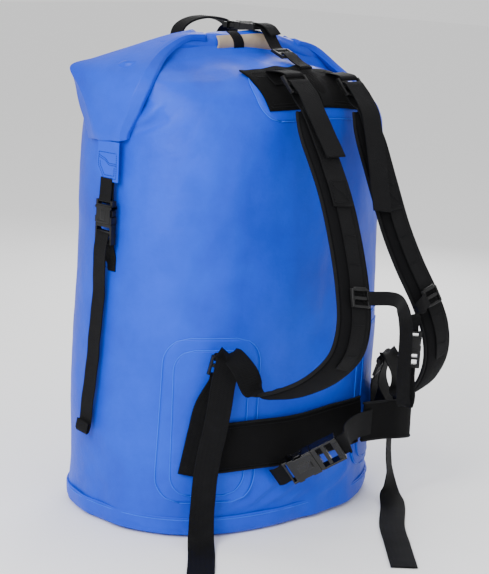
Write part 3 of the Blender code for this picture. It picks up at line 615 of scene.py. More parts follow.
def tube_mesh(name, path, radius, sides=8, closed=False):
    path = np.asarray(path, float)
    angles = np.linspace(0, 2 * math.pi, sides, endpoint=False)
    outline = radius * np.stack([np.cos(angles), np.sin(angles)], axis=1)
    tangents = unit(np.gradient(path, axis=0))
    guide = unit(np.cross(tangents, (0.13, 0.21, 0.97)))
    rings = sweep(path, guide, outline)
    lengths = distances(path)
    uv = [[(u * radius, v) for u in np.linspace(0, 2 * math.pi, sides + 1)] for v in lengths]
    return grid_mesh(name, rings, uv, wrap=True, caps=not closed)


def rounded_patch(
    name, s_range, z_range, radius, off, body="bag", replaces=(), slant=0.0, material=None, edge=True
):
    """A welded patch with round corners that follows the bag. slant moves its low end outwards."""
    low_s, high_s = sorted(s_range)
    low_z, high_z = z_range
    rows, uv = [], []
    for z in np.concatenate(
        [
            np.linspace(low_z, low_z + radius, 8),
            np.linspace(low_z + radius, high_z - radius, 16)[1:-1],
            np.linspace(high_z - radius, high_z, 8)
        ]
    ):
        near = max(0, low_z + radius - z, z - high_z + radius)
        inset = radius - math.sqrt(max(0, radius**2 - near**2))
        lean = slant * (high_z - z) / (high_z - low_z)
        places = np.linspace(low_s + inset + min(lean, 0), high_s - inset + max(lean, 0), 22)
        push = skin_push(places, np.full_like(places, z))
        drop = np.full_like(places, off)
        rows.append([bag_points(s, z, p + d) for s, p, d in zip(places, push, drop)])
        uv.append([(s, z) for s in places])
    points = np.array(rows).reshape(len(rows), -1, 3)
    mesh = grid_mesh(name, points, uv)
    patch = finish_piece(name, mesh, material or BLUE_PATCH, body, replaces)
    thicken(patch, 0.0011, -1)
    if edge:
        # The patch's edge is a thin tube in the lighter blue: a painted highlight along the weld.
        ring = np.concatenate([points[:, 0], points[-1, 1:], points[-2::-1, -1], points[0, -2::-1]])
        step = np.linalg.norm(np.diff(ring, axis=0), axis=1)
        ring = ring[np.concatenate([[True], step > 1e-6])]
        finish_piece(name + "_edge", tube_mesh(name + "_edge", ring, 0.0007), WELD_HIGHLIGHT, body)
    return patch


# ---------------------------------------------------------------- the rolled mouth


ROLL_HALF_LENGTH = 0.166
ROLL_RADII = (0.0165, 0.0138)


def roll_swell(x):
    """How much fatter or thinner the roll is at x."""
    return 1 + 0.1 * math.sin(x * 27 + 0.8) + 0.05 * math.sin(x * 71)


def roll_drop(x):
    """How far the roll has sagged at x."""
    return slumped([(x, *ROLL_CENTRE)])[0, 2] - ROLL_CENTRE[1]


def rolled_mouth():
    """The rolled-up mouth: a flattened roll whose last turn shows as a long edge."""
    y0, z0 = ROLL_CENTRE
    turn = np.linspace(0, 2 * math.pi, 90, endpoint=False)
    rows, uv = [], []
    for x in np.linspace(-ROLL_HALF_LENGTH, ROLL_HALF_LENGTH, 160):
        ends = 1 - 0.55 * np.clip((abs(x) - 0.112) / 0.054, 0, 1) ** 2
        ripple = 0.0006 * np.sin(turn * 3 + x * 40) + 0.0004 * np.sin(turn * 7 - x * 90)
        edge = math.radians(222) + 0.1 * math.sin(x * 18)
        lap = 0.0016 * np.clip(((turn - edge) % (2 * math.pi)) / (2 * math.pi), 0, 1)
        ry, rz = [(radius * ends + ripple + lap) * roll_swell(x) for radius in ROLL_RADII]
        ring = np.stack([np.full_like(turn, x), y0 + ry * np.cos(turn), z0 + rz * np.sin(turn)], axis=1)
        ring[:, 2] += roll_drop(x)
        rows.append(ring)
        uv.append([(x, t * 0.015) for t in np.linspace(0, 2 * math.pi, len(turn) + 1)])
    mesh = grid_mesh("rolled_mouth", np.array(rows), uv, wrap=True, caps=True)
    finish_piece("rolled_mouth", mesh, BLUE, "closure", ("roll_top",))


def stiffener_strip():
    """The strip that shows on the front of the roll, and the webbing loop over it."""
    y0, z0 = ROLL_CENTRE
    for name, span, lift, turn, material, replaced in (
        ("stiffener_strip", (-0.076, 0.034), 0.003, (140, 214), TAN, ("closure_stiffener",)),
        ("strip_webbing", (-0.046, -0.026), 0.0042, (120, 218), WEB, ()),
    ):
        rows, uv = [], []
        for x in np.linspace(*span, 30):
            line = []
            for k, degrees in enumerate(np.linspace(*turn, 20)):
                a = math.radians(degrees)
                lean = 0.01 * (k / 19 - 0.5) if material is WEB else 0.0
                ry, rz = [(radius + 0.0007) * roll_swell(x) + lift for radius in ROLL_RADII]
                line.append((x + lean, y0 + ry * math.cos(a), z0 + roll_drop(x) + rz * math.sin(a)))
            rows.append(line)
            uv.append([(x, d * 0.0004) for d in np.linspace(*turn, 20)])
        mesh = grid_mesh(name, np.array(rows), uv)
        piece = finish_piece(name, mesh, material, "closure", replaced)
        thicken(piece, 0.0012, 0)


# Lines of the flattened ear on the right side, from the roll down to its tab: the front fold
# against the bag, the front crest, the outer crest and the rear fold.
EAR_ROWS = (
    ((-0.098, -0.0285, 0.696), (-0.098, -0.03, 0.702), (-0.098, 0.001, 0.7075), (-0.098, 0.006, 0.704)),
    ((-0.135, -0.029, 0.6965), (-0.138, -0.029, 0.7015), (-0.136, 0.015, 0.6985), (-0.132, 0.02, 0.694)),
    ((-0.182, -0.037, 0.677), (-0.187, -0.033, 0.684), (-0.182, 0.044, 0.6805), (-0.176, 0.049, 0.674)),
    ((-0.221, -0.058, 0.654), (-0.231, -0.048, 0.66), (-0.222, 0.068, 0.665), (-0.214, 0.074, 0.656)),
    ((-0.237, -0.062, 0.633), (-0.2495, -0.05, 0.636), (-0.252, 0.086, 0.6525), (-0.239, 0.09, 0.644)),
    ((-0.2435, -0.056, 0.612), (-0.2555, -0.044, 0.615), (-0.256, 0.06, 0.625), (-0.245, 0.08, 0.62)),
    ((-0.245, -0.05, 0.597), (-0.256, -0.04, 0.598), (-0.258, 0.042, 0.602), (-0.245, 0.072, 0.598)),
    ((-0.2465, -0.042, 0.583), (-0.2575, -0.033, 0.583), (-0.2585, 0.033, 0.583), (-0.245, 0.062, 0.58)),
    ((-0.248, -0.035, 0.569), (-0.258, -0.028, 0.569), (-0.258, 0.026, 0.565), (-0.245, 0.054, 0.562)),
    ((-0.248, -0.032, 0.56), (-0.256, -0.026, 0.558), (-0.256, 0.024, 0.556), (-0.245, 0.05, 0.554)),
)


def roll_ear(side, sign):
    """The end of the flattened mouth, folded down over the side of the bag like gift wrap."""
    lines = [smooth_path([row[k] for row in EAR_ROWS], 8) for k in range(4)]
    for line in lines:
        line[:, 2] += line[:, 2] - slumped(line)[:, 2]
        line[:, 0] *= -sign
    lines = [slumped(line) for line in lines]
    inner = [line + unit((0, 0, 0.62) - line) * 0.007 for line in (lines[0], lines[3])]
    corners = [inner[0], *lines, inner[1]]
    stops = (0.0, 0.05, 0.12, 0.3, 0.5, 0.7, 0.88, 0.95)
    rows, uv = [], []
    for k in range(len(lines[0])):
        f = k / (len(lines[0]) - 1)
        across = unit(lines[2][k] - lines[1][k])
        down = unit(lines[1][min(k + 1, len(lines[1]) - 1)] - lines[1][max(k - 1, 0)])
        out = unit(np.cross(across, down)) * -sign
        ring = []
        for m in range(6):
            a, b = corners[m][k], corners[(m + 1) % 6][k]
            before = corners[m - 1][k]
            for u in stops:
                point = a + (b - a) * u
                if u == 0:  # a rounded corner
                    point = a + 0.00072 * (unit(before - a) + unit(b - a))
                if m == 2:
                    crown = 0.003 * math.sin(math.pi * u) * math.sin(math.pi * min(1, f * 2.2) / 2)
                    crease = 0.0016 * math.sin(u * 7 + f * 9) * math.sin(math.pi * u)
                    furrow = -0.0034 * math.exp(-(((u - 0.1 - 0.25 * f) / 0.05) ** 2)) * max(0, f - 0.15)
                    point = point + out * (crown + crease + furrow)
                ring.append(point)
        rows.append(ring)
        lengths = [*distances(ring), 0.3]
        uv.append([(u, f * 0.25) for u in lengths])
    mesh = grid_mesh(f"{side}_roll_ear", np.array(rows), uv, wrap=True, caps=True)
    ear = finish_piece(f"{side}_roll_ear", mesh, BLUE, "closure", (f"{side}_roll_end",))


def side_closure(side, sign):
    """The welded tab, its webbing, the buckle, the tail that hangs from it and the anchor."""
    y, z = SIDE_BUCKLE
    x = sign * (SIDE_X - 0.0005)
    top = 0.556
    bottom = 0.503
    outline = [
        (-0.0225, top), (0.0205, top), (0.0215, bottom + 0.016), (0.008, bottom - 0.003),
        (-0.0225, bottom - 0.003)
    ]
    bm = bmesh.new()
    rings = [[bm.verts.new((x + sign * d, y + u, w)) for u, w in outline] for d in (-0.0012, 0.0012)]
    bm.faces.new(rings[1])
    bm.faces.new(rings[0][::-1])
    for i in range(len(outline)):
        j = (i + 1) % len(outline)
        bm.faces.new((rings[0][i], rings[0][j], rings[1][j], rings[1][i]))
    mesh = closed_mesh(bm, f"{side}_tab")
    finish_piece(f"{side}_tab", mesh, BLUE_PATCH, "closure", (f"{side}_closure_tab",), 0.0008)
    face = x + sign * 0.0014
    inner = [
        (-0.019, 0.54), (0.017, 0.54), (0.018, 0.5215), (0.0065, 0.5045), (-0.019, 0.5045),
        (-0.019, 0.54)
    ]
    bars = [inner, [(-0.019, 0.523), (-0.004, 0.523), (0.004, 0.529), (0.0175, 0.533)]]
    bars.append([(-0.019, 0.5255), (-0.0045, 0.5255), (0.0035, 0.5315), (0.0172, 0.5355)])
    bars.append([(-0.015, 0.52), (-0.015, 0.5085), (0.005, 0.5085), (0.014, 0.522), (0.014, 0.529)])
    lines = [[(face, y + u, w) for u, w in bar] for bar in bars]
    stitches(f"{side}_tab_stitching", lines, "closure", BLUE_STITCH, 0.003, 0.0005)

    at = frame_at((sign * SIDE_X, y, z), (0, 0, 1), (sign, 0, 0))
    _, thick, length, base = buckle_sizes(MIDDLE)
    loop = [(sign * SIDE_X - sign * 0.003, y, 0.508), (sign * SIDE_X - sign * 0.0022, y, z + length + 0.006)]
    loop += [place(at, 0, length - 0.001, -0.0022), place(at, 0, length - 0.0045, 0.0002)]
    loop += [
        place(at, 0, length - 0.001, 0.0026), place(at, 0, length + 0.006, 0.002),
        place(at, 0, 0.064, 0.0004)
    ]
    ribbon(f"{side}_tab_loop", loop, (0, 1, 0), MIDDLE - 0.001, "closure", (f"{side}_tab_webbing",))
    socket(f"{side}_side_buckle_socket", MIDDLE, at, "closure", (f"{side}_side_socket",))
    plug(f"{side}_side_buckle_plug", MIDDLE, at, f"{side}_side_plug", (f"{side}_side_plug",))

    out = sign * (SIDE_X + thick * 0.4 + 0.0016)
    low = z - base
    tail = [place(at, 0, -0.36 * base, -0.002), place(at, 0, -0.44 * base, 0.0045), (out, y, z - 0.7 * base)]
    tail += [(out, y + 0.003, low - 0.012), (sign * 0.2566, y + 0.01, 0.34), (sign * 0.2546, y + 0.02, 0.25)]
    tail += [(sign * 0.2546, y + 0.028, 0.18), (sign * 0.2566, y + 0.034, 0.133)]
    tail += [
        (sign * 0.259, y + 0.0345, 0.131), (sign * 0.26, y + 0.034, 0.1345),
        (sign * 0.259, y + 0.032, 0.148)
    ]
    ribbon(
        f"{side}_side_tail_webbing", tail, (0, 1, 0.1), MIDDLE, f"{side}_side_tail",
        (f"{side}_side_tail",), wave=0.0008
    )
    back = sign * (SIDE_X - thick * 0.4 - 0.0014)
    wall = BAG_RINGS[2][1] + 0.0022
    anchor = [place(at, 0, -0.9 * base, 0.0002), (back, y, low + 0.004), (back, y, low - 0.004)]
    anchor += [(sign * wall, y, low - 0.022), (sign * wall, y, 0.372)]
    bend = ("bag", f"{side}_side_plug", (sign * wall, y, 0.374), (sign * wall, y, low))
    ribbon(f"{side}_side_anchor_webbing", anchor, (0, 1, 0), MIDDLE - 0.001, bend, (f"{side}_side_anchor",))
    box = ((-0.009, 0.376), (0.009, 0.376), (0.009, 0.392), (-0.009, 0.392), (-0.009, 0.376))
    frame_line = [(sign * (wall + 0.0012), y + u, w) for u, w in box]
    stitches(f"{side}_side_anchor_stitching", [frame_line], "bag")


# ---------------------------------------------------------------- buckles and locks


def buckle_sizes(webbing):
    return webbing + 0.009, 0.006 + webbing * 0.24, 0.01 + webbing * 0.92, 0.008 + webbing * 0.88


def socket(name, webbing, at, body, replaces, material=None):
    """The half that the plug's arms go into, with side windows, a raised middle and a webbing bar."""
    w, t, l, _ = buckle_sizes(webbing)
    deep = l - 0.0085
    front, back = 0.3 * l, 0.62 * l
    blocks = []
    for s in (-1, 1):
        blocks.append((0, deep / 2, s * (t / 2 - 0.001), w - 0.005, deep, 0.002, 1.0))
        blocks.append((s * (w / 2 - 0.0014), front / 2, 0, 0.0028, front, t * 0.92, 1.0))
        blocks.append((s * (w / 2 - 0.0014), (back + deep) / 2, 0, 0.0028, deep - back, t * 0.92, 1.0))
        blocks.append((s * (w / 2 - 0.0021), (back + deep) / 2, 0, 0.0042, deep - back, t, 1.0))
        blocks.append((s * (w / 2 - 0.0021), deep + 0.0042, 0, 0.0042, 0.0085, t * 0.72, 1.0))
    blocks.append((0, deep + 0.0004, 0, w - 0.004, 0.0036, t * 0.86, 1.0))
    blocks.append((0, l - 0.0014, 0, w - 0.002, 0.003, t * 0.52, 1.0))
    blocks.append((0, 0.48 * deep, t / 2 + 0.0001, w * 0.34, deep * 0.72, 0.0016, 0.72))
    blocks.append((0, 0.0022, t / 2 - 0.0003, w * 0.8, 0.003, 0.0018, 0.9))
    moulding(name, at, blocks, body, replaces, 0.0007, material)


def plug(name, webbing, at, body, replaces, material=None):
    """The half with two sprung arms, a tongue, grip ribs and a ladder for the webbing."""
    w, t, l, b = buckle_sizes(webbing)
    blocks = []
    for s in (-1, 1):
        arm = s * (w / 2 - 0.005)
        blocks.append((arm, (l - 0.012) / 2 - 0.002, 0, 0.003, l - 0.012, t * 0.52, 1.0))
        blocks.append((s * (w / 2 - 0.0021), 0.46 * l, 0, 0.004, 0.27 * l, t * 0.54, 0.9))
        blocks.append((s * (w / 2 - 0.0019), -b / 2, 0, 0.0038, b - 0.0008, t * 0.78, 0.94))
    blocks.append((0, 0.26 * l, 0, 0.004, 0.56 * l, t * 0.42, 1.0))
    blocks.append((0, -0.085 * b, 0, w - 0.001, 0.17 * b, t * 0.84, 0.95))
    blocks.append((0, -0.42 * b, 0.0004, w - 0.004, 0.15 * b, t * 0.6, 0.9))
    blocks.append((0, -0.86 * b, 0, w - 0.002, 0.24 * b, t * 0.62, 0.92))
    for k in range(3):
        blocks.append((0, (-0.79 - 0.07 * k) * b, t * 0.33, w * 0.62, 0.001, 0.0012, 1.0))
    moulding(name, at, blocks, body, replaces, 0.0007, material)


def ladder_lock(name, webbing, at, body, replaces, length=0.03, thick=0.005):
    """Three bars between two rails, with a lifting lip."""
    half = webbing / 2 + 0.0045
    blocks = [(s * (half - 0.002), 0, 0, 0.004, length, thick, 0.9) for s in (-1, 1)]
    blocks.append((0, -0.43 * length, 0, 2 * half - 0.002, 0.14 * length, thick * 0.8, 0.9))
    blocks.append((0, 0.0, 0.0004, 2 * half - 0.004, 0.2 * length, thick * 0.7, 0.8))
    blocks.append((0, 0.43 * length, 0.0003, 2 * half - 0.002, 0.15 * length, thick * 0.9, 0.9))
    blocks.append((0, 0.5 * length, 0.0016, 2 * half * 0.72, 0.0042, thick * 0.55, 0.8))
    moulding(name, at, blocks, body, replaces, 0.0007)


# ---------------------------------------------------------------- top of the harness


def haul_handle():
    middle, y, z = TOP_STRAP_X, 0.085, 0.678
    half = [(0.062, -0.004), (0.0605, 0.01), (0.055, 0.025), (0.036, 0.036), (0, 0.0405)]
    points = [(middle - x, y, z + up) for x, up in half]
    points += [(middle + x, y, z + up) for x, up in half[-2::-1]]
    ribbon(
        "haul_handle_webbing", points, (0, 1, 0), MIDDLE, "haul_handle", ("haul_handle",),
        thickness=0.0034, wave=0.0004
    )
    rows = [
        [(middle + x, y + e, z + up + 0.0022) for x, up in ((-0.03, 0.0372), (0, 0.0405), (0.03, 0.0372))]
        for e in (-0.0095, 0.0095)
    ]
    stitches("haul_handle_stitching", [smooth_path(r, 6) for r in rows], "haul_handle")
    for side, sign in SIDES.items():
        foot, leg = middle + sign * 0.03, middle + sign * 0.0563
        low = slumped([(foot, y, 0.662)])[0, 2] + 0.005
        bend = slumped([(leg, y, 0.662)])[0, 2] + 0.005
        points = [
            (foot, y, low), (leg - sign * 0.006, y, bend), (leg, y, bend + 0.008),
            (leg + sign * 0.001, y, z + 0.01)
        ]
        ribbon(f"{side}_handle_foot", points, (0, 1, 0), MIDDLE - 0.001, "bag", (f"{side}_handle_anchor",))


def top_strap():
    """The strap over the roll: rear webbing, buckle, ladder lock, and the webbing down to the yoke."""
    x, y, z = TOP_STRAP_X, -0.002, 0.7115
    at = frame_at((x, y, z), (0, 1, 0), (0, 0, 1))
    _, _, length, base = buckle_sizes(MIDDLE)
    socket("top_buckle_socket", MIDDLE, at, "top_socket", ("top_socket",))
    plug("top_buckle_plug", MIDDLE, at, "closure", ("top_plug",))
    near = [
        place(at, 0, length - 0.0012, -0.0012), place(at, 0, length + 0.004, -0.0006),
        (x, y + length + 0.012, z - 0.005), (x, 0.05, 0.696)
    ]
    ribbon(
        "top_rear_webbing", near, (1, 0, 0), MIDDLE - 0.001,
        ("closure", "top_socket", (x, 0.05, 0.69), (x, 0.032, 0.7))
    )
    far = [(x, 0.05, 0.696), (x, 0.058, 0.683), (x, 0.069, 0.6715), (x, 0.08, 0.6685)]
    ribbon(
        "top_rear_foot", far, (1, 0, 0), MIDDLE - 0.001,
        ("bag", "closure", (x, 0.066, 0.672), (x, 0.05, 0.694)), ("top_rear_strap",)
    )
    front = y - base
    over = [
        place(at, 0, -0.8 * base, -0.001), (x, front - 0.003, z), (x, front - 0.011, z - 0.0035),
        (x, front - 0.024, z - 0.019)
    ]
    over += [(x, -0.064, 0.6835), (x, -0.076, 0.679)]
    ribbon("top_strap_webbing", over, (1, 0, 0), MIDDLE - 0.001, "closure", ("top_strap",))
    tip = [
        place(at, 0, -0.5 * base, 0.002), (x + 0.001, front + 0.004, z + 0.0052),
        (x + 0.003, front - 0.012, z + 0.002), (x + 0.006, front - 0.024, z - 0.01)
    ]
    ribbon("top_strap_tip", tip, (1, 0.05, 0), MIDDLE, "closure")
    lock = frame_at((x, -0.08, 0.677), (0, -0.93, -0.36), (0, -0.36, 0.93))
    ladder_lock("top_lock", MIDDLE, lock, "closure", ("top_ladder_lock",), 0.026, 0.0046)
    down = [
        place(lock, 0, 0.004, 0.0038), place(lock, 0, 0.013, 0.003), (x, -0.106, 0.6675),
        (x, -0.125, 0.66)
    ]
    down += list(bag_points([x] * 4, [0.652, 0.64, 0.622, 0.607], [0.0062, 0.0074, 0.0074, 0.007]))
    bend = ("bag", "closure", (x, -0.118, 0.658), (x, -0.094, 0.672))
    ribbon("centre_webbing", down, (1, 0, 0), MIDDLE - 0.001, bend, ("centre_strap",))


def yoke():
    """The black sewn yoke that carries both shoulder straps, on its welded patch."""
    rounded_patch(
        "upper_patch", (-0.112, 0.112), (0.592, 0.657), 0.03, 0.0014, replaces=("upper_harness_patch",)
    )
    rows, uv = [], []
    for f in np.linspace(0, 1, 16):
        z = 0.606 + 0.05 * f
        low, high = -0.098 - 0.006 * f, 0.1
        s = np.linspace(low, high, 50)
        lift = np.maximum(0.0044, skin_push(s, np.full_like(s, z)) + 0.004)
        rows.append(bag_points(s, z, lift + 0.0004 * np.sin(s * 150)))
        uv.append([(a, z) for a in s])
    mesh = grid_mesh("yoke_cloth", np.array(rows), uv)
    piece = finish_piece("yoke_cloth", mesh, BELT, "bag", ("shoulder_yoke",))
    thicken(piece, 0.0022, -1)
    lines = []
    for inset in (0.004, 0.008):
        s = np.concatenate(
            [np.linspace(-0.098 + inset, 0.1 - inset, 30), np.linspace(0.1 - inset, -0.098 + inset, 30)]
        )
        z = np.concatenate([np.full(30, 0.606 + inset), np.full(30, 0.656 - inset)])
        ring = bag_points(s, z, np.maximum(0.005, skin_push(s, z) + 0.0046))
        lines.append(np.vstack([ring, ring[:1]]))
    stitches("yoke_stitching", lines, "bag")


# ---------------------------------------------------------------- shoulder straps

PAD_PATHS = {
    "right": (
        (-0.06, -0.192, 0.606), (-0.066, -0.224, 0.564), (-0.076, -0.267, 0.503),
        (-0.088, -0.302, 0.44), (-0.098, -0.326, 0.384), (-0.108, -0.34, 0.338),
        (-0.118, -0.338, 0.3), (-0.13, -0.312, 0.265), (-0.14, -0.27, 0.238),
        (-0.148, -0.225, 0.222),
    ),
    "left": (
        (0.064, -0.188, 0.602), (0.066, -0.208, 0.56), (0.07, -0.232, 0.5),
        (0.076, -0.256, 0.438), (0.084, -0.278, 0.39), (0.093, -0.302, 0.345),
        (0.103, -0.316, 0.302), (0.113, -0.313, 0.259), (0.125, -0.287, 0.215),
        (0.135, -0.246, 0.188),
    ),
}
PAD_ACROSS = {
    "right": ((1, -0.05, -0.1), (1, -0.1, -0.2)),
    "left": ((1, 0.05, 0.1), (1, 0.1, 0.2)),
}
UPPER_LOCKS = {"right": (-0.054, -0.168, 0.644), "left": (0.068, -0.164, 0.636)}
LOWER_LOCKS = {
    "right": ((-0.172, -0.166, 0.256), (0.1, -0.2, 0.97)),
    "left": ((0.148, -0.186, 0.217), (0.0, -0.35, 0.93)),
}
TAIL_DRIFT = {"right": -0.01, "left": 0.042}
CHEST_SLIDER_Z = {"right": 0.376, "left": 0.344}
ANCHOR_SPANS = {"right": (0.186, 0.204), "left": (0.168, 0.2)}
TAIL_ACROSS = {"right": (0.92, -0.35, 0), "left": (0.84, 0.45, 0)}
TAIL_ROUTES = {
    "right": (
        (-0.185, -0.17, 0.185), (-0.195, -0.164, 0.12), (-0.2, -0.162, 0.055),
        (-0.206, -0.168, 0.014), (-0.228, -0.192, 0.0024), (-0.254, -0.218, 0.0022),
        (-0.282, -0.245, 0.0022),
    ),
    "left": (
        (0.157, -0.201, 0.155), (0.164, -0.197, 0.1), (0.17, -0.196, 0.048),
        (0.168, -0.204, 0.013), (0.147, -0.226, 0.0024), (0.072, -0.286, 0.0022),
        (0.012, -0.346, 0.0022), (-0.044, -0.402, 0.0022),
    ),
}


def pad_line(side, steps=12):
    path = smooth_path(PAD_PATHS[side], steps)
    first, last = (np.array(a, float) for a in PAD_ACROSS[side])
    return path, first + (last - first) * np.linspace(0, 1, len(path))[:, None]


def off_pad(path, across, distance):
    return path - distance * unit(np.cross(across, unit(np.gradient(path, axis=0))))


def along_line(line, path, distance):
    lengths = distances(path)
    return np.array([np.interp(distance, lengths, line[:, k]) for k in range(3)])


PAD_FACE = 0.89  # the padded part of the width; the rest is the bound edge


def shoulder_pad(side):
    """A foam pad in pack cloth: crowned faces, a bound edge, and creases where it bends."""
    path, across = pad_line(side)
    path, across, lengths = resample(path, across, 0.003)
    total = lengths[-1]
    upper = np.array(
        [
            -1.0, -0.985, -0.955, -0.92, -0.89, -0.86, -0.8, -0.6, -0.35, 0, 0.35, 0.6, 0.8, 0.86, 0.89,
            0.92, 0.955, 0.985, 1.0
        ]
    )
    round_edge = np.sqrt(np.clip(1 - ((np.abs(upper) - 0.945) / 0.055) ** 2, 0, 1))
    edge = np.where(np.abs(upper) >= PAD_FACE, 0.36 * round_edge, 0.0)
    body = np.where(
        np.abs(upper) < PAD_FACE,
        0.3 + 0.75 * np.clip(1 - (np.abs(upper) / PAD_FACE) ** 3, 0, 1) ** 0.6, 0.0
    )
    profile = np.maximum(edge, body)
    outlines = []
    for v in lengths:
        f = v / total
        taper = 1 - 0.42 * (max(0.0, 1 - f / 0.12) + max(0.0, (f - 0.88) / 0.12)) ** 2
        thin = 1 - 0.35 * max(0.0, 1 - f / 0.05) - 0.35 * max(0.0, (f - 0.95) / 0.05)
        pucker = 1 + 0.05 * math.sin(v * 190 + 1.3) + 0.04 * math.sin(v * 83)
        seam = 1 - 0.34 * math.exp(-(((f - 0.52) * total / 0.004) ** 2))
        seam -= 0.3 * math.exp(-(((f - 0.955) * total / 0.004) ** 2))
        t = PAD_THICKNESS / 2 * thin
        half = PAD_WIDTH / 2 * taper
        face = np.where(np.abs(upper) < PAD_FACE, profile * pucker * seam, profile)
        top = np.stack([upper * half, face * t * 1.02], axis=1)
        low = np.stack([upper[-2:0:-1] * half, -profile[-2:0:-1] * t * 0.95], axis=1)
        outlines.append(np.vstack([top, low]))
    rings = sweep(path, across, np.array(outlines))
    outline = outlines[len(outlines) // 2]
    round_pad = [*distances(outline), 0.15]
    mesh = grid_mesh(
        f"{side}_pad", rings, [[(u, v) for u in round_pad] for v in lengths], wrap=True, caps=True
    )
    pad = finish_piece(f"{side}_pad", mesh, PAD, f"{side}_strap", (f"{side}_shoulder_pad",))
    rings = rings.reshape(len(lengths), -1, 3)
    for name, column in (("inner", 0), ("outer", len(upper) - 1)):
        inward = 0.0012 * unit(rings[:, len(upper) // 2] - rings[:, column])
        tape = tube_mesh(f"{side}_pad_{name}_binding", rings[:, column] + inward, 0.0026, 10)
        finish_piece(f"{side}_pad_{name}_binding", tape, BINDING, f"{side}_strap")
    seams = [rings[4:-4, c] for c in (5, 13)]
    stitches(f"{side}_pad_stitching", seams, f"{side}_strap")


def pad_strip(side):
    """The webbing that is sewn down the pad's face, with bar tacks, for the chest strap's slider."""
    path, across = pad_line(side)
    _, _, lengths = resample(path, across, 0.003)
    total = lengths[-1]
    face = off_pad(path, across, PAD_THICKNESS / 2 + 0.0016)
    stops = np.arange(0.13, total * 0.78, 0.02)
    points = [along_line(face, path, d) for d in stops]
    ribbon(f"{side}_pad_strip", points, across[len(across) // 2], MIDDLE, f"{side}_strap", steps=5)
    wide = unit(across[len(across) // 2])
    out = off_pad(path, across, PAD_THICKNESS / 2 + 0.003)
    tacks = [[along_line(out, path, d) + wide * x for x in (-0.01, 0.01)] for d in stops[1::2]]
    stitches(f"{side}_pad_bar_tacks", tacks, f"{side}_strap", pitch=0.0026)


def upper_webbing(side, lock, tail_length):
    """Sewn to the pad, through the upper lock, and hanging back over the pad to a flat cut end."""
    path, across = pad_line(side)
    on_pad = off_pad(path, across, PAD_THICKNESS / 2 + 0.0034)
    over = off_pad(path, across, PAD_THICKNESS / 2 + 0.01)
    points = [along_line(on_pad, path, d) for d in (0.15, 0.11, 0.07, 0.035, 0.004)]
    turn = ((0.024, -0.0058), (0.008, -0.0044), (-0.004, -0.0034), (-0.0062, 0.0004), (-0.003, 0.0044))
    turn += ((0.008, 0.0054), (0.022, 0.006))
    points += [place(lock, 0, y, z) for y, z in turn]
    for d in np.arange(0.01, tail_length, 0.035):
        points.append(along_line(over, path, d) - (TAIL_DRIFT[side] * d / tail_length, 0, 0))
    ribbon(
        f"{side}_upper_strap_webbing", points, (1, 0, 0), WIDE, f"{side}_strap",
        (f"{side}_upper_webbing",), wave=0.0005
    )
    spot = along_line(on_pad, path, 0.128)
    down = unit(along_line(on_pad, path, 0.15) - along_line(on_pad, path, 0.11))
    box = [
        (-0.015, -0.016), (0.015, -0.016), (0.015, 0.016), (-0.015, 0.016), (-0.015, -0.016),
        (0.015, 0.016)
    ]
    out = unit(np.cross(unit(across[20]), down)) * -0.0012
    stitches(
        f"{side}_upper_box_stitch", [[spot + np.array((u, 0, 0)) + down * v + out for u, v in box]],
        f"{side}_strap"
    )


def yoke_tab(side, lock):
    """The short webbing loop that holds the upper lock on the yoke."""
    s = {"right": -0.056, "left": 0.07}[side]
    points = [place(lock, 0, -0.01, 0.001), place(lock, 0, -0.0135, 0.003), place(lock, 0, -0.019, 0.001)]
    points += list(bag_points([s, s], [0.65, 0.636], [0.0078, 0.0066]))
    bend = ("bag", f"{side}_strap", tuple(points[-2]), tuple(points[1]))
    ribbon(f"{side}_yoke_loop", points, (1, 0, 0), WIDE - 0.002, bend)


def lower_adjuster(side, sign):
    centre, along = LOWER_LOCKS[side]
    lock = frame_at(centre, along, (sign * 0.35, -0.93, 0))
    across = lock[1][0]
    ladder_lock(f"{side}_lower_ladder_lock", WIDE, lock, "bag", (f"{side}_lower_lock",))
    path, pad_across = pad_line(side)
    end, direction = path[-1], unit(path[-1] - path[-5])
    top = place(lock, 0, 0.0215, 0.0035)
    low = end + direction * 0.02 + np.array((0, 0, 0.008))
    rise = top + 0.55 * (low - top) + np.array((0, -0.004, 0.004))
    points = [
        end - direction * 0.02, end + direction * 0.003, low, rise, top, place(lock, 0, 0.013, 0.004),
        place(lock, 0, 0.0075, 0.001)
    ]
    turns = [
        pad_across[-1], pad_across[-1], 0.7 * pad_across[-1] + 0.3 * across, across, across, across,
        across
    ]
    bend = ("bag", f"{side}_strap", tuple(top), tuple(end))
    ribbon(f"{side}_lower_pad_webbing", points, turns, WIDE, bend, (f"{side}_lower_webbing",), wave=0.0006)
    tail = [place(lock, 0, y, z) for y, z in ((0.006, -0.0036), (0.012, -0.0048), (0.018, -0.001))]
    tail += [place(lock, 0, y, z) for y, z in ((0.013, 0.0056), (-0.002, 0.0068), (-0.026, 0.011))]
    turns = [across] * len(tail)
    for point in TAIL_ROUTES[side]:
        lying = np.interp(point[2], (0.003, 0.02), (1, 0))
        tail.append(point)
        turns.append((1 - lying) * np.array(TAIL_ACROSS[side]) + lying * np.array((0.7, -0.7, 0)))
    ribbon(f"{side}_tail_webbing", tail, turns, WIDE, "bag", (f"{side}_adjuster_tail",), wave=0.0006)
    anchor = [place(lock, 0, -0.013, -0.0004), place(lock, 0, -0.019, 0), place(lock, 0, -0.025, -0.0003)]
    turns = [across] * 3
    high, bottom = centre[2] - 0.06, 0.094
    for f, off in ((0, 0.012), (0.35, 0.0075), (0.7, 0.0068), (1, 0.0068)):
        s, z = sign * np.interp(f, (0, 1), ANCHOR_SPANS[side]), high + (bottom - high) * f
        anchor.append(bag_points(s, z, off))
        turns.append(unit(bag_points(s + 0.002, z) - bag_points(s - 0.002, z)))
    ribbon(f"{side}_anchor_webbing", anchor, turns, WIDE - 0.001, "bag", (f"{side}_lower_anchor",))


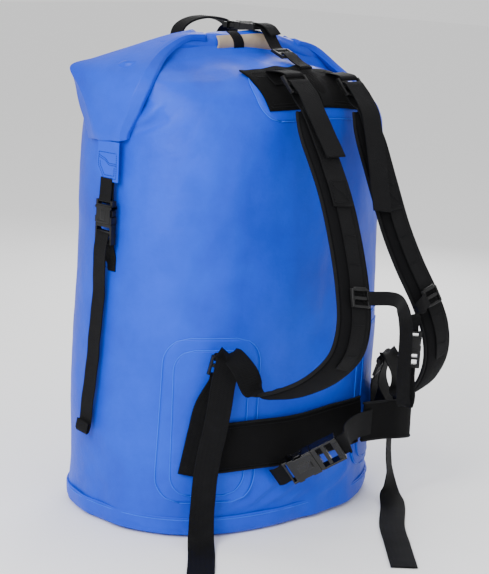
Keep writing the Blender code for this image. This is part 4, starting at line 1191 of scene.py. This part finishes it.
def shoulder_strap(side, sign):
    lock = frame_at(UPPER_LOCKS[side], (0, -0.7, -0.71), (0, -0.71, 0.7))
    ladder_lock(f"{side}_upper_ladder_lock", WIDE, lock, f"{side}_strap", (f"{side}_upper_lock",))
    shoulder_pad(side)
    pad_strip(side)
    upper_webbing(side, lock, {"right": 0.11, "left": 0.165}[side])
    yoke_tab(side, lock)
    lower_adjuster(side, sign)
    outer = sorted((sign * 0.106, sign * 0.248))
    inner = sorted((sign * 0.124, sign * 0.233))
    rounded_patch(
        f"{side}_outer_patch", outer, (0.052, 0.291), 0.038, 0.001, "bag", (f"{side}_lower_patch",),
        sign * 0.008
    )
    rounded_patch(f"{side}_inner_patch", inner, (0.062, 0.274), 0.03, 0.002)


# ---------------------------------------------------------------- chest strap and hip belt


def chest_strap():
    ends = {}
    for side in SIDES:
        path, across = pad_line(side, 4)
        k = int(np.argmin(np.abs(path[:, 2] - CHEST_SLIDER_Z[side])))
        t = unit(np.gradient(path, axis=0)[k])
        out = -unit(np.cross(across[k], t))
        at = frame_at(path[k] + out * (PAD_THICKNESS / 2 + 0.006), -t, out)
        ladder_lock(
            f"{side}_chest_ladder_slider", MIDDLE, at, "chest_strap", (f"{side}_chest_slider",), 0.026,
            0.0045
        )
        ends[side] = at
    buckle = frame_at((0.051, -0.314, 0.277), (0.03, 0, 1), (-0.7, -0.7, 0))
    socket("chest_buckle_socket", NARROW, buckle, "chest_strap", ("chest_socket",))
    plug("chest_buckle_plug", NARROW, buckle, "chest_plug", ("chest_plug",))
    _, _, length, base = buckle_sizes(NARROW)
    across = buckle[1][0]
    left = [place(buckle, 0, length - 0.001, 0), place(buckle, 0, length + 0.01, 0.001)]
    left += [place(ends["left"], -0.036, -0.006, 0.0035), place(ends["left"], -0.015, 0, 0.003)]
    turns = [across, across, (0.2, 0.3, 0.9), (0, 0.4, 0.9)]
    ribbon("left_chest_strap", left, turns, NARROW - 0.001, "chest_strap", ("left_chest_webbing",))
    right = [place(ends["right"], 0.013, 0, 0.003), (-0.044, -0.356, 0.37), (-0.01, -0.344, 0.35)]
    right += [(0.018, -0.33, 0.314), (0.032, -0.32, 0.27), (0.038, -0.316, 0.226)]
    right += [(0.042, -0.315, 0.202), (0.048, -0.315, 0.196), (0.053, -0.315, 0.206)]
    right += [place(buckle, 0, -base - 0.012, 0.001), place(buckle, 0, -0.8 * base, 0)]
    turns = [(0, 0.2, 1), (0.1, 0, 1), (0.3, -0.5, 0.8), (0.4, -0.8, 0.4), *[across] * 7]
    bend = ("chest_strap", "chest_plug", (0.043, -0.315, 0.2), (0.052, -0.315, 0.2))
    ribbon("right_chest_strap", right, turns, NARROW - 0.001, bend, ("right_chest_webbing",), wave=0.0005)


def hip_belt():
    rows, uv = [], []
    for f in np.linspace(0, 1, 22):
        s = np.linspace(-0.186, 0.112, 70)
        z = 0.098 + 0.072 * f + 0.0012 * np.sin(s * 40)
        puff = 0.003 * (1 - (2 * f - 1) ** 4) + 0.001 * np.sin(s * 55 + f * 3)
        rows.append(bag_points(s, z, 0.008 + puff))
        uv.append([(a, b) for a, b in zip(s, z)])
    mesh = grid_mesh("right_belt_wing", np.array(rows), uv)
    wing = finish_piece("right_belt_wing", mesh, BELT, "bag", ("right_hip_wing",))
    thicken(wing, 0.0034, -1)
    for name, z in (("upper", 0.1685), ("lower", 0.0995)):
        s = np.linspace(-0.186, 0.112, 90)
        line = bag_points(s, z + 0.0012 * np.sin(s * 40), 0.0082)
        finish_piece(
            f"right_belt_{name}_binding", tube_mesh(f"right_belt_{name}_binding", line, 0.0021, 10),
            BINDING, "bag"
        )
        near = bag_points(s, z + (0.5 - (z > 0.13)) * 0.01 + 0.0012 * np.sin(s * 40), 0.0116)
        stitches(f"right_belt_{name}_stitching", [near], "bag")

    points = [bag_points(0.3, 0.125, 0.008), bag_points(0.272, 0.126, 0.016), (0.208, -0.185, 0.128)]
    points += [(0.186, -0.218, 0.132), (0.15, -0.226, 0.138), (0.12, -0.22, 0.141), (0.075, -0.216, 0.144)]
    ribbon("left_belt_wing", points, (0, 0, 1), 0.058, "bag", ("left_hip_wing",), BELT, 0.0036, 0.0008)
    path = smooth_path(points, 8)
    for name, dz in (("upper", 0.0285), ("lower", -0.0285)):
        tape = tube_mesh(f"left_belt_{name}_binding", path + (0, 0, dz), 0.0022, 10)
        finish_piece(f"left_belt_{name}_binding", tape, BINDING, "bag")

    buckle = frame_at((-0.045, -0.231, 0.115), (-0.56, 0.62, -0.5), (-0.5, -0.72, -0.4))
    socket("hip_buckle_socket", WIDE, buckle, "bag", ("hip_socket",), GLOSS)
    plug("hip_buckle_plug", WIDE, buckle, "hip_plug", ("hip_plug",), GLOSS)
    _, _, length, base = buckle_sizes(WIDE)
    across = buckle[1][0]
    points = [
        place(buckle, 0, -0.78 * base, 0), place(buckle, 0, -base - 0.004, 0),
        place(buckle, 0, -base - 0.01, 0)
    ]
    points += [(0.012, -0.242, 0.143), (0.042, -0.229, 0.145), (0.09, -0.22, 0.143)]
    turns = [across, across, across, 0.5 * across + (0, 0, 0.7), (0, 0, 1), (0, 0, 1)]
    bend = ("bag", "hip_plug", (0.042, -0.229, 0.145), tuple(place(buckle, 0, -base - 0.004, 0)))
    ribbon("hip_strap_webbing", points, turns, WIDE, bend, ("hip_strap",), wave=0.0004)
    loop = ((-0.0012, 0), (0.004, 0), (0.012, 0.001), (0.02, -0.002))
    loop = [place(buckle, 0, length + d, up) for d, up in loop]
    ribbon("hip_socket_loop", loop, across, WIDE - 0.002, "bag", ("hip_socket_webbing",))


# ---------------------------------------------------------------- studio


def area_light(name, position, target, size, power, colour=(1, 1, 1)):
    data = bpy.data.lights.new(name, "AREA")
    data.shape, data.size, data.size_y = "RECTANGLE", size[0], size[1]
    data.energy, data.color = power, colour
    light = bpy.data.objects.new(name, data)
    light.location = position
    light.rotation_euler = (Vector(target) - Vector(position)).to_track_quat("-Z", "Y").to_euler()
    bpy.context.scene.collection.objects.link(light)


def studio():
    world = bpy.data.worlds.new("studio")
    bpy.context.scene.world = world
    world.use_nodes = True
    world.node_tree.nodes["Background"].inputs[0].default_value = (1, 1, 1, 1)
    world.node_tree.nodes["Background"].inputs[1].default_value = 1.0
    bm = bmesh.new()
    bmesh.ops.create_grid(bm, x_segments=1, y_segments=1, size=12)
    mesh = bpy.data.meshes.new("floor")
    bm.to_mesh(mesh)
    bm.free()
    material = bpy.data.materials.new("pale_floor")
    n = Nodes(material)
    n.feed(n.shader.inputs["Base Color"], (0.93, 0.93, 0.93, 1))
    n.feed(n.shader.inputs["Roughness"], 0.8)
    mesh.materials.append(material)
    floor = bpy.data.objects.new("floor", mesh)
    bpy.context.scene.collection.objects.link(floor)
    area_light("key", (-2.0, -0.7, 1.5), (0, 0, 0.4), (1.1, 1.1), 66)
    area_light("front", (-0.6, -2.4, 1.3), (0, 0, 0.35), (1.4, 1.4), 8)
    area_light("rim", (1.5, 1.0, 1.2), (0, 0, 0.45), (0.8, 1.2), 18)
    area_light("top", (0, 0.2, 2.4), (0, 0, 0.6), (1.2, 1.2), 12)


def camera():
    azimuth, elevation, roll = math.radians(-46), math.radians(11), math.radians(2.6)
    level = math.cos(elevation)
    back = Vector((math.sin(azimuth) * level, -math.cos(azimuth) * level, math.sin(elevation)))
    right = (-back).cross(Vector((0, 0, 1))).normalized()
    up = right.cross(-back)
    across = right * math.cos(roll) + up * math.sin(roll)
    upright = up * math.cos(roll) - right * math.sin(roll)
    data = bpy.data.cameras.new("camera")
    data.lens, data.sensor_width = 108, 36
    data.shift_x, data.shift_y = 0.0261, -0.047
    eye = bpy.data.objects.new("camera", data)
    target, distance = Vector((0, 0, 0.36)), 2.6
    turn = Matrix((across, upright, back)).transposed().to_4x4()
    eye.matrix_world = Matrix.Translation(target + back * distance) @ turn
    bpy.context.scene.collection.objects.link(eye)
    bpy.context.scene.camera = eye


camera()
bag_skin()
base_cup()
rolled_mouth()
stiffener_strip()
haul_handle()
top_strap()
yoke()
chest_strap()
hip_belt()
for side, sign in SIDES.items():
    roll_ear(side, sign)
    side_closure(side, sign)
    shoulder_strap(side, sign)
studio()

bpy.context.view_layer.update()
